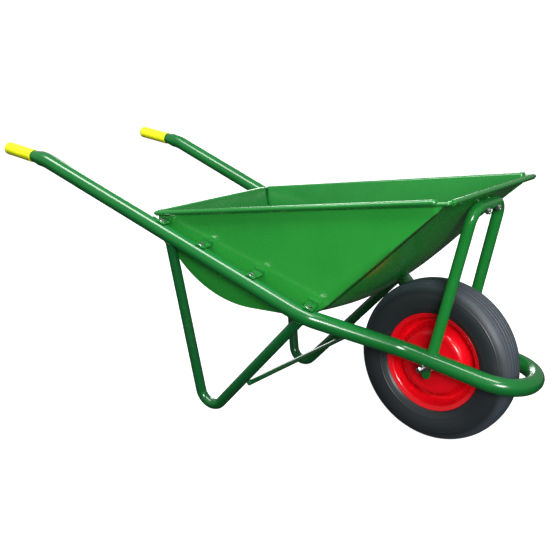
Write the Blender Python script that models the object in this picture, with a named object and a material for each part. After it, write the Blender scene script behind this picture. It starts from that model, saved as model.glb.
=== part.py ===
"""A wheelbarrow: a sheet steel tray on one bent tube frame, with a pneumatic wheel.

Metres, +Z up, +X forward over the wheel, +Y to the barrow's left. The origin is on
the ground under the middle of the overall box. The wheel turns on an axle along Y.
Every place is first worked out with the axle at X = 0, then moved by AXLE_X.
"""
import math

import bmesh
import bpy
import numpy as np
from mathutils import Matrix, Vector

GAP = 0.0003  # left between pieces that touch

# Wheel, radii from the axle and distances from the wheel's middle plane
TYRE_DIAMETER = 0.370
TYRE_WIDTH = 0.088
TYRE_WALL = 0.006
FLANGE_RADIUS = 0.112
FLANGE_SPREAD = 0.0300
BEAD_SEAT_RADIUS = 0.1010
RIM_SHEET = 0.002
INNER_TUBE_WALL = 0.002
HUB_RADIUS = 0.017
HUB_BORE = 0.0135
HUB_LENGTH = 0.088
BUSH_FLANGE = 0.003
BUSH_DEPTH = 0.018
VALVE_RADIUS = 0.004
VALVE_LENGTH = 0.036
VALVE_TIP_RADIUS = 0.0026
VALVE_TIP_LENGTH = 0.008
VALVE_ANGLE = math.radians(200)
VALVE_LEAN = math.radians(-45)
VALVE_CAP_TOP = 0.003
RIM_CREST_DEPTH = 0.040
RIM_VALLEY_DEPTH = 0.021

# Axle and its fixings
AXLE_RADIUS = 0.006
AXLE_LENGTH = 0.190
AXLE_NUT_FLATS = 0.018
AXLE_NUT_HEIGHT = 0.010
WASHER_RADIUS = 0.011
WASHER_THICKNESS = 0.0015
SPACER_WALL = 0.0035
CHAMFER = 0.001
RUNNING_CLEARANCE = 0.0003
AXLE_BELOW_TUBE = 0.0085
STRAP_WIDTH = 0.020
STRAP_THICKNESS = 0.005
STRAP_BELOW_AXLE = 0.031
STRAP_ABOVE_AXLE = 0.036

# Tubes
TUBE_RADIUS = 0.019
TUBE_WALL = 0.002
SWAGE_RADIUS = 0.0145
SWAGE_LENGTH = 0.030
LEG_RADIUS = 0.0125
LEG_WALL = 0.0016
HOOP_RADIUS = 0.0125
BRACE_RADIUS = 0.006

# Wheel loop of the main tube, inside measures
LOOP_INSIDE = 0.0593
LOOP_BEND_X = -0.037
LOOP_SLOPE = -0.159
NOSE_CLEARANCE = 0.0161
NOSE_BEND = 0.077
LOOP_BEND = 0.100

# Handles
HANDLE_BEYOND_TRAY = 0.354
HANDLE_END_SLOPE = -0.134
HANDLE_BEND = 0.120
HANDLE_STRAIGHT = 0.0055
GRIP_RADIUS = 0.0165
GRIP_LENGTH = 0.102
GRIP_CAP = 0.004
GRIP_EDGE = 0.003
SWAGE_BEYOND_GRIP = 0.002

# Tray: the side outline from the rear rim corner, and the plane of the side panels
TRAY_LENGTH = 0.753
TRAY_RISE = 0.109
TRAY_DEPTH = 0.2064
REAR_WALL_RUN = 0.0498
NOSE_PANEL_RUN = 0.3363
FLOOR_RISE = 0.0113
REAR_FOLD = 0.243
NOSE_FOLD = 0.179
FRONT_RIM_ABOVE_AXLE = 0.399
TRAY_TYRE_GAP = 0.0394
REAR_RIM_HALF_WIDTH = 0.2155
SIDE_TAPER = -0.032
SIDE_LEAN = 0.156
NOSE_CROWN = 0.030
SHEET = 0.0012
SIDE_FLANGE = 0.012
FLANGE_CLEARANCE = 0.0006
RIM_WIRE_RADIUS = 0.004
RIM_WIRE_CLEARANCE = 0.0008
RIM_CORNER_DROP = 0.012
RIM_CORNER_MARGIN = 0.008
REAR_WALL_STRAIGHT = 0.0145
FLOOR_FLAT = 0.040

# Where the tubes pass the tray
TUBE_BELOW_REAR_RIM = TUBE_RADIUS + 0.0077
TUBE_REAR_SIDE_GAP = 0.0026
TUBE_FRONT_SIDE_GAP = 0.0212
TUBE_BEND_AHEAD = 0.0122
TUBE_BEND_ABOVE = 0.0156

# Brackets and screws that hold the tray on the tubes
FIRST_BRACKET_AHEAD = 0.024
LAST_BRACKET_BEHIND_BEND = 0.001
BRACKET_PATTERN = (0.0, 0.29, 0.64, 1.0)
BRACKET_SHEET = 0.003
BRACKET_WIDTH = 0.024
BRACKET_OUTBOARD = 0.010
BRACKET_UPSTAND = 0.009
SCREW_RADIUS = 0.004
SCREW_FLATS = 0.013
SCREW_HEAD = 0.0053
SCREW_LENGTH = 0.014
SCREW_POINT = 0.003
NUT_HEIGHT = 0.0065

# Legs and hoop
FOOT_BEHIND_BEND = 0.287
FOOT_HALF_SPREAD = 0.192
FOOT_BEND = 0.035
LEG_REAR_AHEAD = 0.050
LEG_FRONT_BEHIND = 0.004
BRACE_UP_STRUT = 0.33
BRACE_OVERHANG = 0.008
HOOP_FOOT_AHEAD = 0.021
HOOP_TOP_HALF_WIDTH = 0.068
HOOP_BELOW_LIP = 0.036
HOOP_BEND = 0.034
NOSE_BOLT_SPREAD = 0.026
NOSE_BOLT_HEAD_RADIUS = 0.009
NOSE_BOLT_HEAD = 0.003
NOSE_BOLT_SEAT = 0.0006
NOSE_BOLT_BEYOND = 0.010
HOOP_TRAY_GAP = 0.0008

GREEN = ("paint_green", (0.030, 0.300, 0.060), 0.30, 0.0)
YELLOW = ("grip_yellow", (0.800, 0.900, 0.030), 0.55, 0.0)
RED = ("rim_red", (0.780, 0.012, 0.015), 0.28, 0.0)
BLACK = ("tyre_black", (0.018, 0.022, 0.024), 0.60, 0.0)
ZINC = ("zinc_plate", (0.620, 0.640, 0.620), 0.35, 1.0)
NYLON = ("nylon_white", (0.750, 0.740, 0.700), 0.45, 0.0)
BUTYL = ("butyl_black", (0.030, 0.030, 0.032), 0.70, 0.0)
BRASS = ("valve_brass", (0.600, 0.430, 0.170), 0.35, 1.0)

HEX_SIDES = 12
SIDES = ((1, "left"), (-1, "right"))
UP = np.array([0.0, 0.0, 1.0])
ACROSS = np.array([0.0, 1.0, 0.0])


# ---- scene and mesh helpers

def clear_scene():
    """Removes every object that the new file came with."""
    for obj in list(bpy.data.objects):
        bpy.data.objects.remove(obj, do_unlink=True)


def material(finish):
    """The Principled material of a finish, made the first time that it is asked for."""
    name, colour, roughness, metallic = finish
    found = bpy.data.materials.get(name)
    if found:
        return found
    made = bpy.data.materials.new(name)
    made.use_nodes = True
    shader = made.node_tree.nodes["Principled BSDF"]
    shader.inputs["Base Color"].default_value = (*colour, 1.0)
    shader.inputs["Roughness"].default_value = roughness
    shader.inputs["Metallic"].default_value = metallic
    made.diffuse_color = (*colour, 1.0)
    return made


def add_object(name, bm, finish, matrix=None, smooth_angle=35.0):
    """Puts a bmesh in the scene as a named object, faces outwards and rounds shaded smooth."""
    bmesh.ops.recalc_face_normals(bm, faces=bm.faces[:])
    mesh = bpy.data.meshes.new(name)
    bm.to_mesh(mesh)
    bm.free()
    mesh.shade_smooth()
    mesh.set_sharp_from_angle(angle=math.radians(smooth_angle))
    mesh.materials.append(material(finish))
    obj = bpy.data.objects.new(name, mesh)
    bpy.context.scene.collection.objects.link(obj)
    if matrix is not None:
        obj.matrix_world = matrix
    return obj


def as_cutter(obj):
    """Marks an object as a helper that only shapes other pieces."""
    obj.hide_render = True
    obj.display_type = "WIRE"
    return obj


def cut(obj, cutter):
    """Takes the cutter's shape out of the object."""
    boolean = obj.modifiers.new("cut_" + cutter.name, "BOOLEAN")
    boolean.operation = "DIFFERENCE"
    boolean.solver = "EXACT"
    boolean.object = cutter


def rings_to_bmesh(rings, close_ends, close_loop=False):
    """Skins rings of points, given in order; ends get a flat cap, or the last ring meets the first."""
    bm = bmesh.new()
    loops = [[bm.verts.new(point) for point in ring] for ring in rings]
    following = loops[1:] + (loops[:1] if close_loop else [])
    for first, second in zip(loops, following):
        count = len(first)
        for k in range(count):
            bm.faces.new((first[k], first[(k + 1) % count], second[(k + 1) % count], second[k]))
    if close_ends:
        bm.faces.new(loops[0])
        bm.faces.new(loops[-1])
    return bm


def turned(levels, sides=HEX_SIDES):
    """A round or hexagonal solid along Z from (height, radius, is_hexagon) levels, capped flat."""
    rings = []
    for height, radius, hexagon in levels:
        ring = []
        for k in range(sides):
            angle = 2 * math.pi * k / sides
            reach = radius / math.cos(math.pi / 6) if hexagon and k % 2 == 0 else radius
            ring.append((reach * math.cos(angle), reach * math.sin(angle), height))
        rings.append(ring)
    return rings_to_bmesh(rings, close_ends=True)


def spun(profile, steps):
    """A closed (radius, height) outline spun a full turn about Z."""
    bm = bmesh.new()
    verts = [bm.verts.new((radius, 0.0, height)) for radius, height in profile]
    edges = [bm.edges.new((verts[k - 1], verts[k])) for k in range(len(verts))]
    bmesh.ops.spin(bm, geom=verts + edges, cent=(0, 0, 0), axis=(0, 0, 1), angle=2 * math.pi,
                   steps=steps, use_merge=True)
    bmesh.ops.remove_doubles(bm, verts=bm.verts[:], dist=1e-6)
    return bm


def pipe(inner, outer, length, hexagon=False, sides=HEX_SIDES):
    """A tube, ring or nut along Z, centred on its middle."""
    rings = []
    for height, hollow in ((-0.5, True), (-0.5, False), (0.5, False), (0.5, True)):
        ring = []
        for k in range(sides):
            angle = 2 * math.pi * k / sides
            corner = 1 / math.cos(math.pi / 6) if hexagon and k % 2 == 0 else 1.0
            reach = inner if hollow else outer * corner
            ring.append((reach * math.cos(angle), reach * math.sin(angle), height * length))
        rings.append(ring)
    return rings_to_bmesh(rings, close_ends=False, close_loop=True)


def prism(outlines):
    """A solid between two or more matching outlines."""
    return rings_to_bmesh(outlines, close_ends=True)


def cup(levels, sides):
    """A closed-ended sleeve along Z from (height, radius) levels: round the outside, then down the bore."""
    rings = [[(r * math.cos(a), r * math.sin(a), h) for a in (2 * math.pi * k / sides for k in range(sides))]
             for h, r in levels]
    return rings_to_bmesh(rings, close_ends=True)


def joined(parts):
    """Several bmeshes as one."""
    whole = bmesh.new()
    for part in parts:
        mesh = bpy.data.meshes.new("part")
        part.to_mesh(mesh)
        part.free()
        whole.from_mesh(mesh)
        bpy.data.meshes.remove(mesh)
    return whole


def looking_along(place, direction, turn_from=UP):
    """A matrix that puts local Z along a direction and local X near another."""
    z_axis = Vector(direction).normalized()
    y_axis = z_axis.cross(Vector(turn_from)).normalized()
    x_axis = y_axis.cross(z_axis)
    turn = Matrix((x_axis, y_axis, z_axis)).transposed().to_4x4()
    return Matrix.Translation(Vector(place)) @ turn


def unit(vector):
    return np.asarray(vector, float) / np.linalg.norm(vector)


def rounded(corners, radii, steps):
    """The corners' path with an arc of the given radius at each corner, 0 for a sharp one."""
    corners = [np.asarray(corner, float) for corner in corners]
    points = []
    for k, corner in enumerate(corners):
        if not radii[k]:
            points.append(corner)
            continue
        back = unit(corners[k - 1] - corner)
        ahead = unit(corners[k + 1] - corner)
        half = math.acos(float(np.clip(back @ ahead, -1, 1))) / 2
        centre = corner + unit(back + ahead) * radii[k] / math.sin(half)
        start = corner + back * radii[k] / math.tan(half) - centre
        finish = corner + ahead * radii[k] / math.tan(half) - centre
        sweep = math.pi - 2 * half
        for j in range(steps + 1):
            t = j / steps
            spread = math.sin((1 - t) * sweep) * start + math.sin(t * sweep) * finish
            points.append(centre + spread / math.sin(sweep))
    return np.array(points)


def frames(path, reference):
    """The direction, side and top of each path point; the top leans towards the reference."""
    before = np.roll(path, 1, axis=0)
    after = np.roll(path, -1, axis=0)
    before[0] = path[0]
    after[-1] = path[-1]
    directions = []
    for back, here, front in zip(before, path, after):
        arriving = here - back if np.any(here != back) else front - here
        leaving = front - here if np.any(front != here) else here - back
        directions.append(unit(unit(arriving) + unit(leaving)))
    directions = np.array(directions)
    tops = reference - directions * (directions @ reference)[:, None]
    tops /= np.linalg.norm(tops, axis=1)[:, None]
    return directions, np.cross(directions, tops), tops


def ring_at(centre, side, top, radius, sides):
    return [centre + radius * (math.cos(a) * top + math.sin(a) * side)
            for a in (2 * math.pi * k / sides for k in range(sides))]


def swept_rod(path, radius, sides, reference=UP):
    """A solid round bar along a path."""
    _, side, top = frames(path, reference)
    rings = [ring_at(path[k], side[k], top[k], radius, sides) for k in range(len(path))]
    return rings_to_bmesh(rings, close_ends=True)


def swept_tube(path, radii, wall, sides, reference=UP):
    """An open-ended tube along a path: out along the outside, back along the bore."""
    _, side, top = frames(path, reference)
    count = len(path)
    outside = [ring_at(path[k], side[k], top[k], radii[k], sides) for k in range(count)]
    bore = [ring_at(path[k], side[k], top[k], radii[k] - wall, sides) for k in range(count)]
    return rings_to_bmesh(outside + bore[::-1], close_ends=False, close_loop=True)


def sheet_object(name, rows, thickness, finish):
    """A thin sheet from a grid of middle-surface points, thickened equally both ways."""
    bm = bmesh.new()
    grid = [[bm.verts.new(point) for point in row] for row in rows]
    for upper, lower in zip(grid, grid[1:]):
        for k in range(len(upper) - 1):
            bm.faces.new((upper[k], upper[k + 1], lower[k + 1], lower[k]))
    obj = add_object(name, bm, finish)
    solid = obj.modifiers.new("thickness", "SOLIDIFY")
    solid.thickness = thickness
    solid.offset = 0.0
    solid.use_even_offset = True
    return obj


def mirrored(points, sign):
    """Points of the left side, taken across to the side of the sign."""
    return np.asarray(points, float) * np.array([1.0, sign, 1.0])


# ---- skeleton, axle at X = 0

AXLE_HEIGHT = TYRE_DIAMETER / 2
nose_angle = math.atan2(TRAY_RISE + TRAY_DEPTH - FLOOR_RISE, NOSE_PANEL_RUN)
nose_out = np.array([math.sin(nose_angle), -math.cos(nose_angle)])
nose_up = np.array([math.cos(nose_angle), math.sin(nose_angle)])
tyre_reach = TYRE_DIAMETER / 2 + TRAY_TYRE_GAP
FRONT_RIM_X = (FRONT_RIM_ABOVE_AXLE * math.cos(nose_angle) - tyre_reach) / math.sin(nose_angle)
FRONT_RIM_Z = AXLE_HEIGHT + FRONT_RIM_ABOVE_AXLE
REAR_RIM_X = FRONT_RIM_X - TRAY_LENGTH
REAR_RIM_Z = FRONT_RIM_Z - TRAY_RISE
REAR_CORNER = np.array([REAR_RIM_X, REAR_RIM_Z])
REAR_FLOOR = REAR_CORNER + (REAR_WALL_RUN, -TRAY_DEPTH)
NOSE_FLOOR = np.array([FRONT_RIM_X - NOSE_PANEL_RUN, REAR_FLOOR[1] + FLOOR_RISE])
FRONT_CORNER = np.array([FRONT_RIM_X, FRONT_RIM_Z])
floor_run = math.hypot(*(NOSE_FLOOR - REAR_FLOOR))
floor_angle = math.asin(FLOOR_RISE / floor_run)
nose_turn = nose_angle - floor_angle
rear_turn = math.atan2(TRAY_DEPTH, REAR_WALL_RUN) + floor_angle
nose_fold = min(NOSE_FOLD, (floor_run - FLOOR_FLAT) / 2 / math.tan(nose_turn / 2))
rear_room = min(floor_run - FLOOR_FLAT - nose_fold * math.tan(nose_turn / 2),
                math.hypot(REAR_WALL_RUN, TRAY_DEPTH) - REAR_WALL_STRAIGHT)
rear_fold = min(REAR_FOLD, rear_room / math.tan(rear_turn / 2))
NOSE_SLOPE = NOSE_PANEL_RUN / math.cos(nose_angle) + nose_fold * (nose_turn - math.tan(nose_turn / 2))


def side_plane(x, z):
    """Half width over the outer faces of the side panels at a place."""
    return REAR_RIM_HALF_WIDTH + SIDE_TAPER * (x - REAR_RIM_X) + SIDE_LEAN * (z - REAR_RIM_Z)


side_normal = unit((-SIDE_TAPER, 1.0, -SIDE_LEAN))
side_stretch = 1 / side_normal[1]

# Main tube centre line, left half
loop_half = LOOP_INSIDE + TUBE_RADIUS
loop_height = AXLE_HEIGHT + TUBE_RADIUS + AXLE_BELOW_TUBE
NOSE_X = TYRE_DIAMETER / 2 + NOSE_CLEARANCE + TUBE_RADIUS
nose_corner = np.array([NOSE_X, loop_half, loop_height + LOOP_SLOPE * NOSE_X])
loop_bend = np.array([LOOP_BEND_X, loop_half, loop_height + LOOP_SLOPE * LOOP_BEND_X])
bend_x = NOSE_FLOOR[0] + TUBE_BEND_AHEAD
bend_z = NOSE_FLOOR[1] + TUBE_BEND_ABOVE
bend_y = side_plane(bend_x, bend_z) + TUBE_FRONT_SIDE_GAP + TUBE_RADIUS
tray_bend = np.array([bend_x, bend_y, bend_z])
rear_z = REAR_RIM_Z - TUBE_BELOW_REAR_RIM
rear_y = side_plane(REAR_RIM_X, rear_z) + TUBE_REAR_SIDE_GAP + TUBE_RADIUS
rear_pass = np.array([REAR_RIM_X, rear_y, rear_z])
run = (bend_x - REAR_RIM_X + HANDLE_BEYOND_TRAY) / (bend_x - REAR_RIM_X)
handle_bend = tray_bend + (rear_pass - tray_bend) * run
handle_line = unit((1.0, 0.0, HANDLE_END_SLOPE))
handle_turn = math.acos(float(handle_line @ unit(tray_bend - rear_pass)))
swage_start = handle_bend - handle_line * (HANDLE_BEND * math.tan(handle_turn / 2) + HANDLE_STRAIGHT)
swage_end = swage_start - handle_line * SWAGE_LENGTH
handle_tip = swage_end - handle_line * (GRIP_LENGTH + SWAGE_BEYOND_GRIP)

half_corners = [handle_tip + handle_line * (GRIP_CAP + GAP), handle_bend, tray_bend, loop_bend, nose_corner]
half_radii = [0, HANDLE_BEND, LOOP_BEND, LOOP_BEND, NOSE_BEND]

AXLE_X = -(handle_tip[0] + GRIP_RADIUS * handle_line[2] + NOSE_X + TUBE_RADIUS) / 2


def placed(points):
    """Skeleton points moved to the object's own origin."""
    return np.asarray(points, float) + np.array([AXLE_X, 0.0, 0.0])


def main_path():
    """The whole centre line from the left grip round the nose to the right grip, with its radii."""
    corners = half_corners + [mirrored(corner, -1) for corner in reversed(half_corners)]
    path = rounded(corners, half_radii + half_radii[::-1], 5)
    shoulders = [swage_end, swage_start]
    path = np.vstack([path[:1], shoulders, path[1:-1], mirrored(shoulders[::-1], -1), path[-1:]])
    radii = np.full(len(path), TUBE_RADIUS)
    radii[[0, 1, -1, -2]] = SWAGE_RADIUS
    return path, radii


def point_on_tube(x):
    """Centre, direction, side and top of the left tube beside the tray at a given X."""
    path, _ = main_path()
    half = path[:len(path) // 2]
    direction, side, top = frames(half, UP)
    values = np.hstack([half, direction, side, top])
    order = np.argsort(half[:, 0])
    at = np.array([np.interp(x, half[order, 0], values[order, k]) for k in range(12)])
    return at[:3], unit(at[3:6]), unit(at[6:9]), unit(at[9:])


# ---- frame pieces

def build_frame_tube():
    path, radii = main_path()
    tube = add_object("main_frame_tube", swept_tube(placed(path), radii, TUBE_WALL, 16), GREEN)
    solid = add_object("frame_tube_cutter", swept_rod(placed(path), TUBE_RADIUS + GAP * 1.5, 16), GREEN)
    return tube, as_cutter(solid)


def tangent_angle(centre, outside, radius, turn):
    """The bearing at which a line from an outside point touches a circle, on the side given by turn."""
    reach = np.asarray(outside, float) - centre
    bearing = math.atan2(reach[1], reach[0])
    opening = math.acos(radius / np.linalg.norm(reach))
    return bearing + turn * opening


def leg_path():
    """The left leg's centre line in its leaning plane: down, round the foot, and up."""
    rear_top = point_on_tube(REAR_RIM_X + LEG_REAR_AHEAD)[0]
    front_top = point_on_tube(bend_x - LEG_FRONT_BEHIND)[0]
    foot_x = bend_x - FOOT_BEHIND_BEND
    centre = np.array([foot_x, LEG_RADIUS + FOOT_BEND])
    start = tangent_angle(centre, rear_top[[0, 2]], FOOT_BEND, 1)
    finish = tangent_angle(centre, front_top[[0, 2]], FOOT_BEND, -1) + 2 * math.pi
    bottom = 1.5 * math.pi
    angles = list(np.linspace(start, bottom, 5)) + list(np.linspace(bottom, finish, 5))[1:]
    arc = [centre + FOOT_BEND * np.array([math.cos(a), math.sin(a)]) for a in angles]
    foot = np.array([foot_x, FOOT_HALF_SPREAD, LEG_RADIUS])
    lean = np.linalg.solve(np.array([rear_top, front_top, foot])[:, [0, 2]][:2] - foot[[0, 2]],
                           np.array([rear_top[1], front_top[1]]) - FOOT_HALF_SPREAD)
    flat = [rear_top[[0, 2]], *arc, front_top[[0, 2]]]
    return np.array([[x, FOOT_HALF_SPREAD + lean @ (np.array([x, z]) - foot[[0, 2]]), z] for x, z in flat])


def build_legs(tube_cutter):
    for sign, side in SIDES:
        path = placed(mirrored(leg_path(), sign))
        leg = add_object(f"leg_{side}", swept_tube(path, [LEG_RADIUS] * len(path), LEG_WALL, 12, ACROSS), GREEN)
        cut(leg, tube_cutter)


def build_brace():
    """A rod across the undersides of both front struts."""
    path = leg_path()
    low, high = path[-2], path[-1]
    along = unit(high - low)
    below = unit((along[2], 0.0, -along[0]))
    place = low + (high - low) * BRACE_UP_STRUT + below * (LEG_RADIUS + BRACE_RADIUS + GAP * 2)
    half = place[1] + BRACE_OVERHANG
    ends = [(place[0], half, place[2]), (place[0], -half, place[2])]
    add_object("leg_brace", swept_rod(placed(ends), BRACE_RADIUS, 10), GREEN)


def crown(below_lip, share):
    """How far the nose panel bows out, at a slope distance below the lip and a share of the half width."""
    if not 0 < below_lip < NOSE_SLOPE:
        return 0.0
    return NOSE_CROWN * math.sin(math.pi * below_lip / NOSE_SLOPE) * (1 - share ** 2)


def nose_surface(distance):
    """A point (x, z) of the nose sheet's middle line and its outward normal, a distance below the lip."""
    step = 0.001
    tilt = (crown(distance + step, 0) - crown(distance - step, 0)) / (2 * step)
    point = FRONT_CORNER - nose_up * distance + nose_out * crown(distance, 0)
    return point, unit(nose_out + tilt * nose_up)


def hoop_top():
    """The crossbar's centre (x, z), just clear of the bowed nose panel."""
    point, outward = nose_surface(HOOP_BELOW_LIP)
    return point + outward * (SHEET / 2 + HOOP_RADIUS + HOOP_TRAY_GAP)


def build_hoop(tube_cutter):
    x, z = hoop_top()
    foot_z = loop_height + LOOP_SLOPE * HOOP_FOOT_AHEAD
    half = [(HOOP_FOOT_AHEAD, loop_half, foot_z), (x, HOOP_TOP_HALF_WIDTH, z)]
    corners = half + [mirrored(half[1], -1), mirrored(half[0], -1)]
    path = placed(rounded(corners, (0, HOOP_BEND, HOOP_BEND, 0), 5))
    forward = np.array([1.0, 0.0, 0.0])
    hoop = add_object("front_hoop", swept_tube(path, [HOOP_RADIUS] * len(path), LEG_WALL, 12, forward), GREEN)
    cut(hoop, tube_cutter)
    return hoop


def build_grips():
    """Closed push-on sleeves over the swaged handle ends."""
    bore = SWAGE_RADIUS + GAP
    for sign, side in SIDES:
        levels = [(0.0, GRIP_RADIUS * 0.9), (GRIP_EDGE, GRIP_RADIUS), (GRIP_LENGTH, GRIP_RADIUS),
                  (GRIP_LENGTH, bore), (GRIP_CAP, bore)]
        matrix = looking_along(placed(mirrored(handle_tip, sign)), mirrored(handle_line, sign))
        add_object(f"grip_{side}", cup(levels, 16), YELLOW, matrix)


# ---- tray

NOSE_ROWS = (0.8, 0.6, 0.4, 0.24, 0.12, 0.05, 0.0)  # shares of the straight slope, from its foot


def tray_outline():
    """The tray's side outline (x, z), rear rim to front rim, with outward normals."""
    corners = [REAR_CORNER, REAR_FLOOR, NOSE_FLOOR, FRONT_CORNER]
    flat = [np.array([x, 0.0, z]) for x, z in corners]
    path = rounded(flat, (0, rear_fold, nose_fold, 0), 6)[:, [0, 2]]
    slope = [path[-1] + (path[-2] - path[-1]) * share for share in NOSE_ROWS]
    path = np.vstack([path[:-1], slope])
    ahead = np.vstack([path[1:], path[-1:]]) - np.vstack([path[:1], path[:-1]])
    ahead /= np.linalg.norm(ahead, axis=1)[:, None]
    return path, np.column_stack([ahead[:, 1], -ahead[:, 0]])


def below_lip(path):
    """Distance of each outline point from the front lip, measured along the sheet."""
    steps = np.linalg.norm(np.diff(path, axis=0), axis=1)
    return np.concatenate([np.cumsum(steps[::-1])[::-1], [0.0]])


def wrap_half_width(x, z):
    return side_plane(x, z) - (SHEET + GAP * 2) * side_stretch


def wrap_shares(half):
    """Where the wrap sheet's columns stand across it; the outer ones meet the side flanges' edges."""
    flange = 1 - SIDE_FLANGE / half
    return np.array([-1.0, -flange, *np.linspace(-0.75, 0.75, 7), flange, 1.0])


curl_radius = RIM_WIRE_RADIUS + RIM_WIRE_CLEARANCE + SHEET / 2
CURL_ANGLES = np.radians([280, 240, 200, 160, 120, 80, 40])


def curl(edge, outward, upward):
    """The rolled rim's middle line, from its free end over the wire to the sheet's edge."""
    centre = edge + outward * curl_radius
    return [centre + curl_radius * (upward * math.sin(a) - outward * math.cos(a)) for a in CURL_ANGLES]


def build_wrap():
    """Rear wall, floor and nose in one sheet, rolled outwards over the wire at both ends."""
    path, normals = tray_outline()
    distances = below_lip(path)
    rear_up = unit(path[0] - path[1])
    rear_curl = curl(path[0], normals[0], rear_up)
    front_curl = curl(path[-1], normals[-1], nose_up)[::-1]
    rows = []
    for x, z in rear_curl:
        half = wrap_half_width(*path[0]) - RIM_CORNER_MARGIN
        rows.append([(x, share * half, z) for share in wrap_shares(half)])
    for (x, z), (out_x, out_z), distance in zip(path, normals, distances):
        half = wrap_half_width(x, z)
        row = []
        for share in wrap_shares(half):
            bow = crown(distance, share)
            row.append((x + out_x * bow, share * half, z + out_z * bow))
        rows.append(row)
    for x, z in front_curl:
        half = wrap_half_width(*path[-1]) - RIM_CORNER_MARGIN
        rows.append([(x, share * half, z) for share in wrap_shares(half)])
    return sheet_object("tray_wrap_sheet", [placed(row) for row in rows], SHEET, GREEN)


def rim_height(x):
    return REAR_RIM_Z + (x - REAR_RIM_X) * TRAY_RISE / TRAY_LENGTH


rim_slope = TRAY_RISE / TRAY_LENGTH
rim_along = unit((1.0, SIDE_TAPER + SIDE_LEAN * rim_slope, rim_slope))
rim_up = np.cross(rim_along, side_normal)
rim_up = rim_up if rim_up[2] > 0 else -rim_up


def side_columns():
    """For each station of a left side panel: rim point, fold point and flange end."""
    path, normals = tray_outline()
    distances = below_lip(path)
    offset = SHEET + FLANGE_CLEARANCE
    columns = []
    for (x, z), out, distance in zip(path, normals, distances):
        fold = np.array([x, z]) + out * offset
        if rim_height(fold[0]) - fold[1] < RIM_CORNER_DROP:
            continue
        middle = SHEET / 2 * side_stretch
        rim_z = rim_height(fold[0])
        rim = np.array([fold[0], side_plane(fold[0], rim_z) - middle, rim_z])
        outer = side_plane(*fold) - middle
        inner_share = 1 - SIDE_FLANGE / wrap_half_width(x, z)
        bow = crown(distance, inner_share)
        end = np.array([fold[0] + out[0] * bow, outer - SIDE_FLANGE, fold[1] + out[1] * bow])
        columns.append((rim, np.array([fold[0], outer, fold[1]]), end))
    return columns


def build_sides():
    for sign, side in SIDES:
        columns = []
        for rim, fold, end in side_columns():
            line = curl(rim, side_normal, rim_up) + [rim, fold, end]
            columns.append(placed(mirrored(line, sign)))
        rows = [[column[k] for column in columns] for k in range(len(columns[0]))]
        sheet_object(f"tray_side_{side}", rows, SHEET, GREEN)


def build_rim_wire():
    """One wire inside the rolled rims, bent round the four corners; its ends meet at the rear."""
    path, normals = tray_outline()
    rear_x, rear_z = path[0] + normals[0] * curl_radius
    front_x, front_z = path[-1] + normals[-1] * curl_radius
    columns = side_columns()
    side_rear = columns[0][0] + side_normal * curl_radius
    side_front = columns[-1][0] + side_normal * curl_radius
    rear_y = side_rear[1] - (side_rear[0] - rear_x) * rim_along[1]
    front_y = side_front[1] + (front_x - side_front[0]) * rim_along[1]
    half = [(front_x, wrap_half_width(*path[-1]) - RIM_CORNER_MARGIN, front_z), (front_x, front_y, front_z),
            side_front, side_rear, (rear_x, rear_y, rear_z),
            (rear_x, wrap_half_width(*path[0]) - RIM_CORNER_MARGIN, rear_z)]
    left = [(rear_x, GAP / 2, rear_z)] + half[::-1]
    radii = [0, 0, 0.001, 0, 0, 0.004, 0]
    corners = left + [mirrored(point, -1) for point in reversed(left)]
    bm = swept_rod(placed(rounded(corners, radii + radii[::-1], 2)), RIM_WIRE_RADIUS, 8)
    add_object("rim_wire", bm, GREEN)


# ---- brackets, screws and nose bolts

def bracket_outlines(place, along, side, top):
    """The bracket's L outline at its two ends: on the tube's top, and up the side panel."""
    low = TUBE_RADIUS + GAP * 2
    outlines = []
    inboard = -side if side[1] > 0 else side
    for end in (-0.5, 0.5):
        origin = place + along * end * BRACKET_WIDTH

        def reach(height, clearance):
            """Distance inboard to the panel's outer face, less a clearance."""
            start = origin + top * height
            slope = inboard[1] - SIDE_TAPER * inboard[0] - SIDE_LEAN * inboard[2]
            return (side_plane(start[0], start[2]) - start[1]) / slope - clearance

        high = low + BRACKET_SHEET
        crest = high + BRACKET_UPSTAND
        touching = GAP * 1.5
        standing = touching + BRACKET_SHEET
        shape = [(-BRACKET_OUTBOARD, low), (reach(low, touching), low), (reach(crest, touching), crest),
                 (reach(crest, standing), crest), (reach(high, standing), high), (-BRACKET_OUTBOARD, high)]
        outlines.append([origin + inboard * across + top * height for across, height in shape])
    return outlines


def screw_hole(depth):
    """The clearance hole of a screw, from beyond its point to above its seat."""
    beyond = SCREW_POINT
    return turned([(-depth - beyond, SCREW_RADIUS + GAP, False), (beyond, SCREW_RADIUS + GAP, False)])


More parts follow.
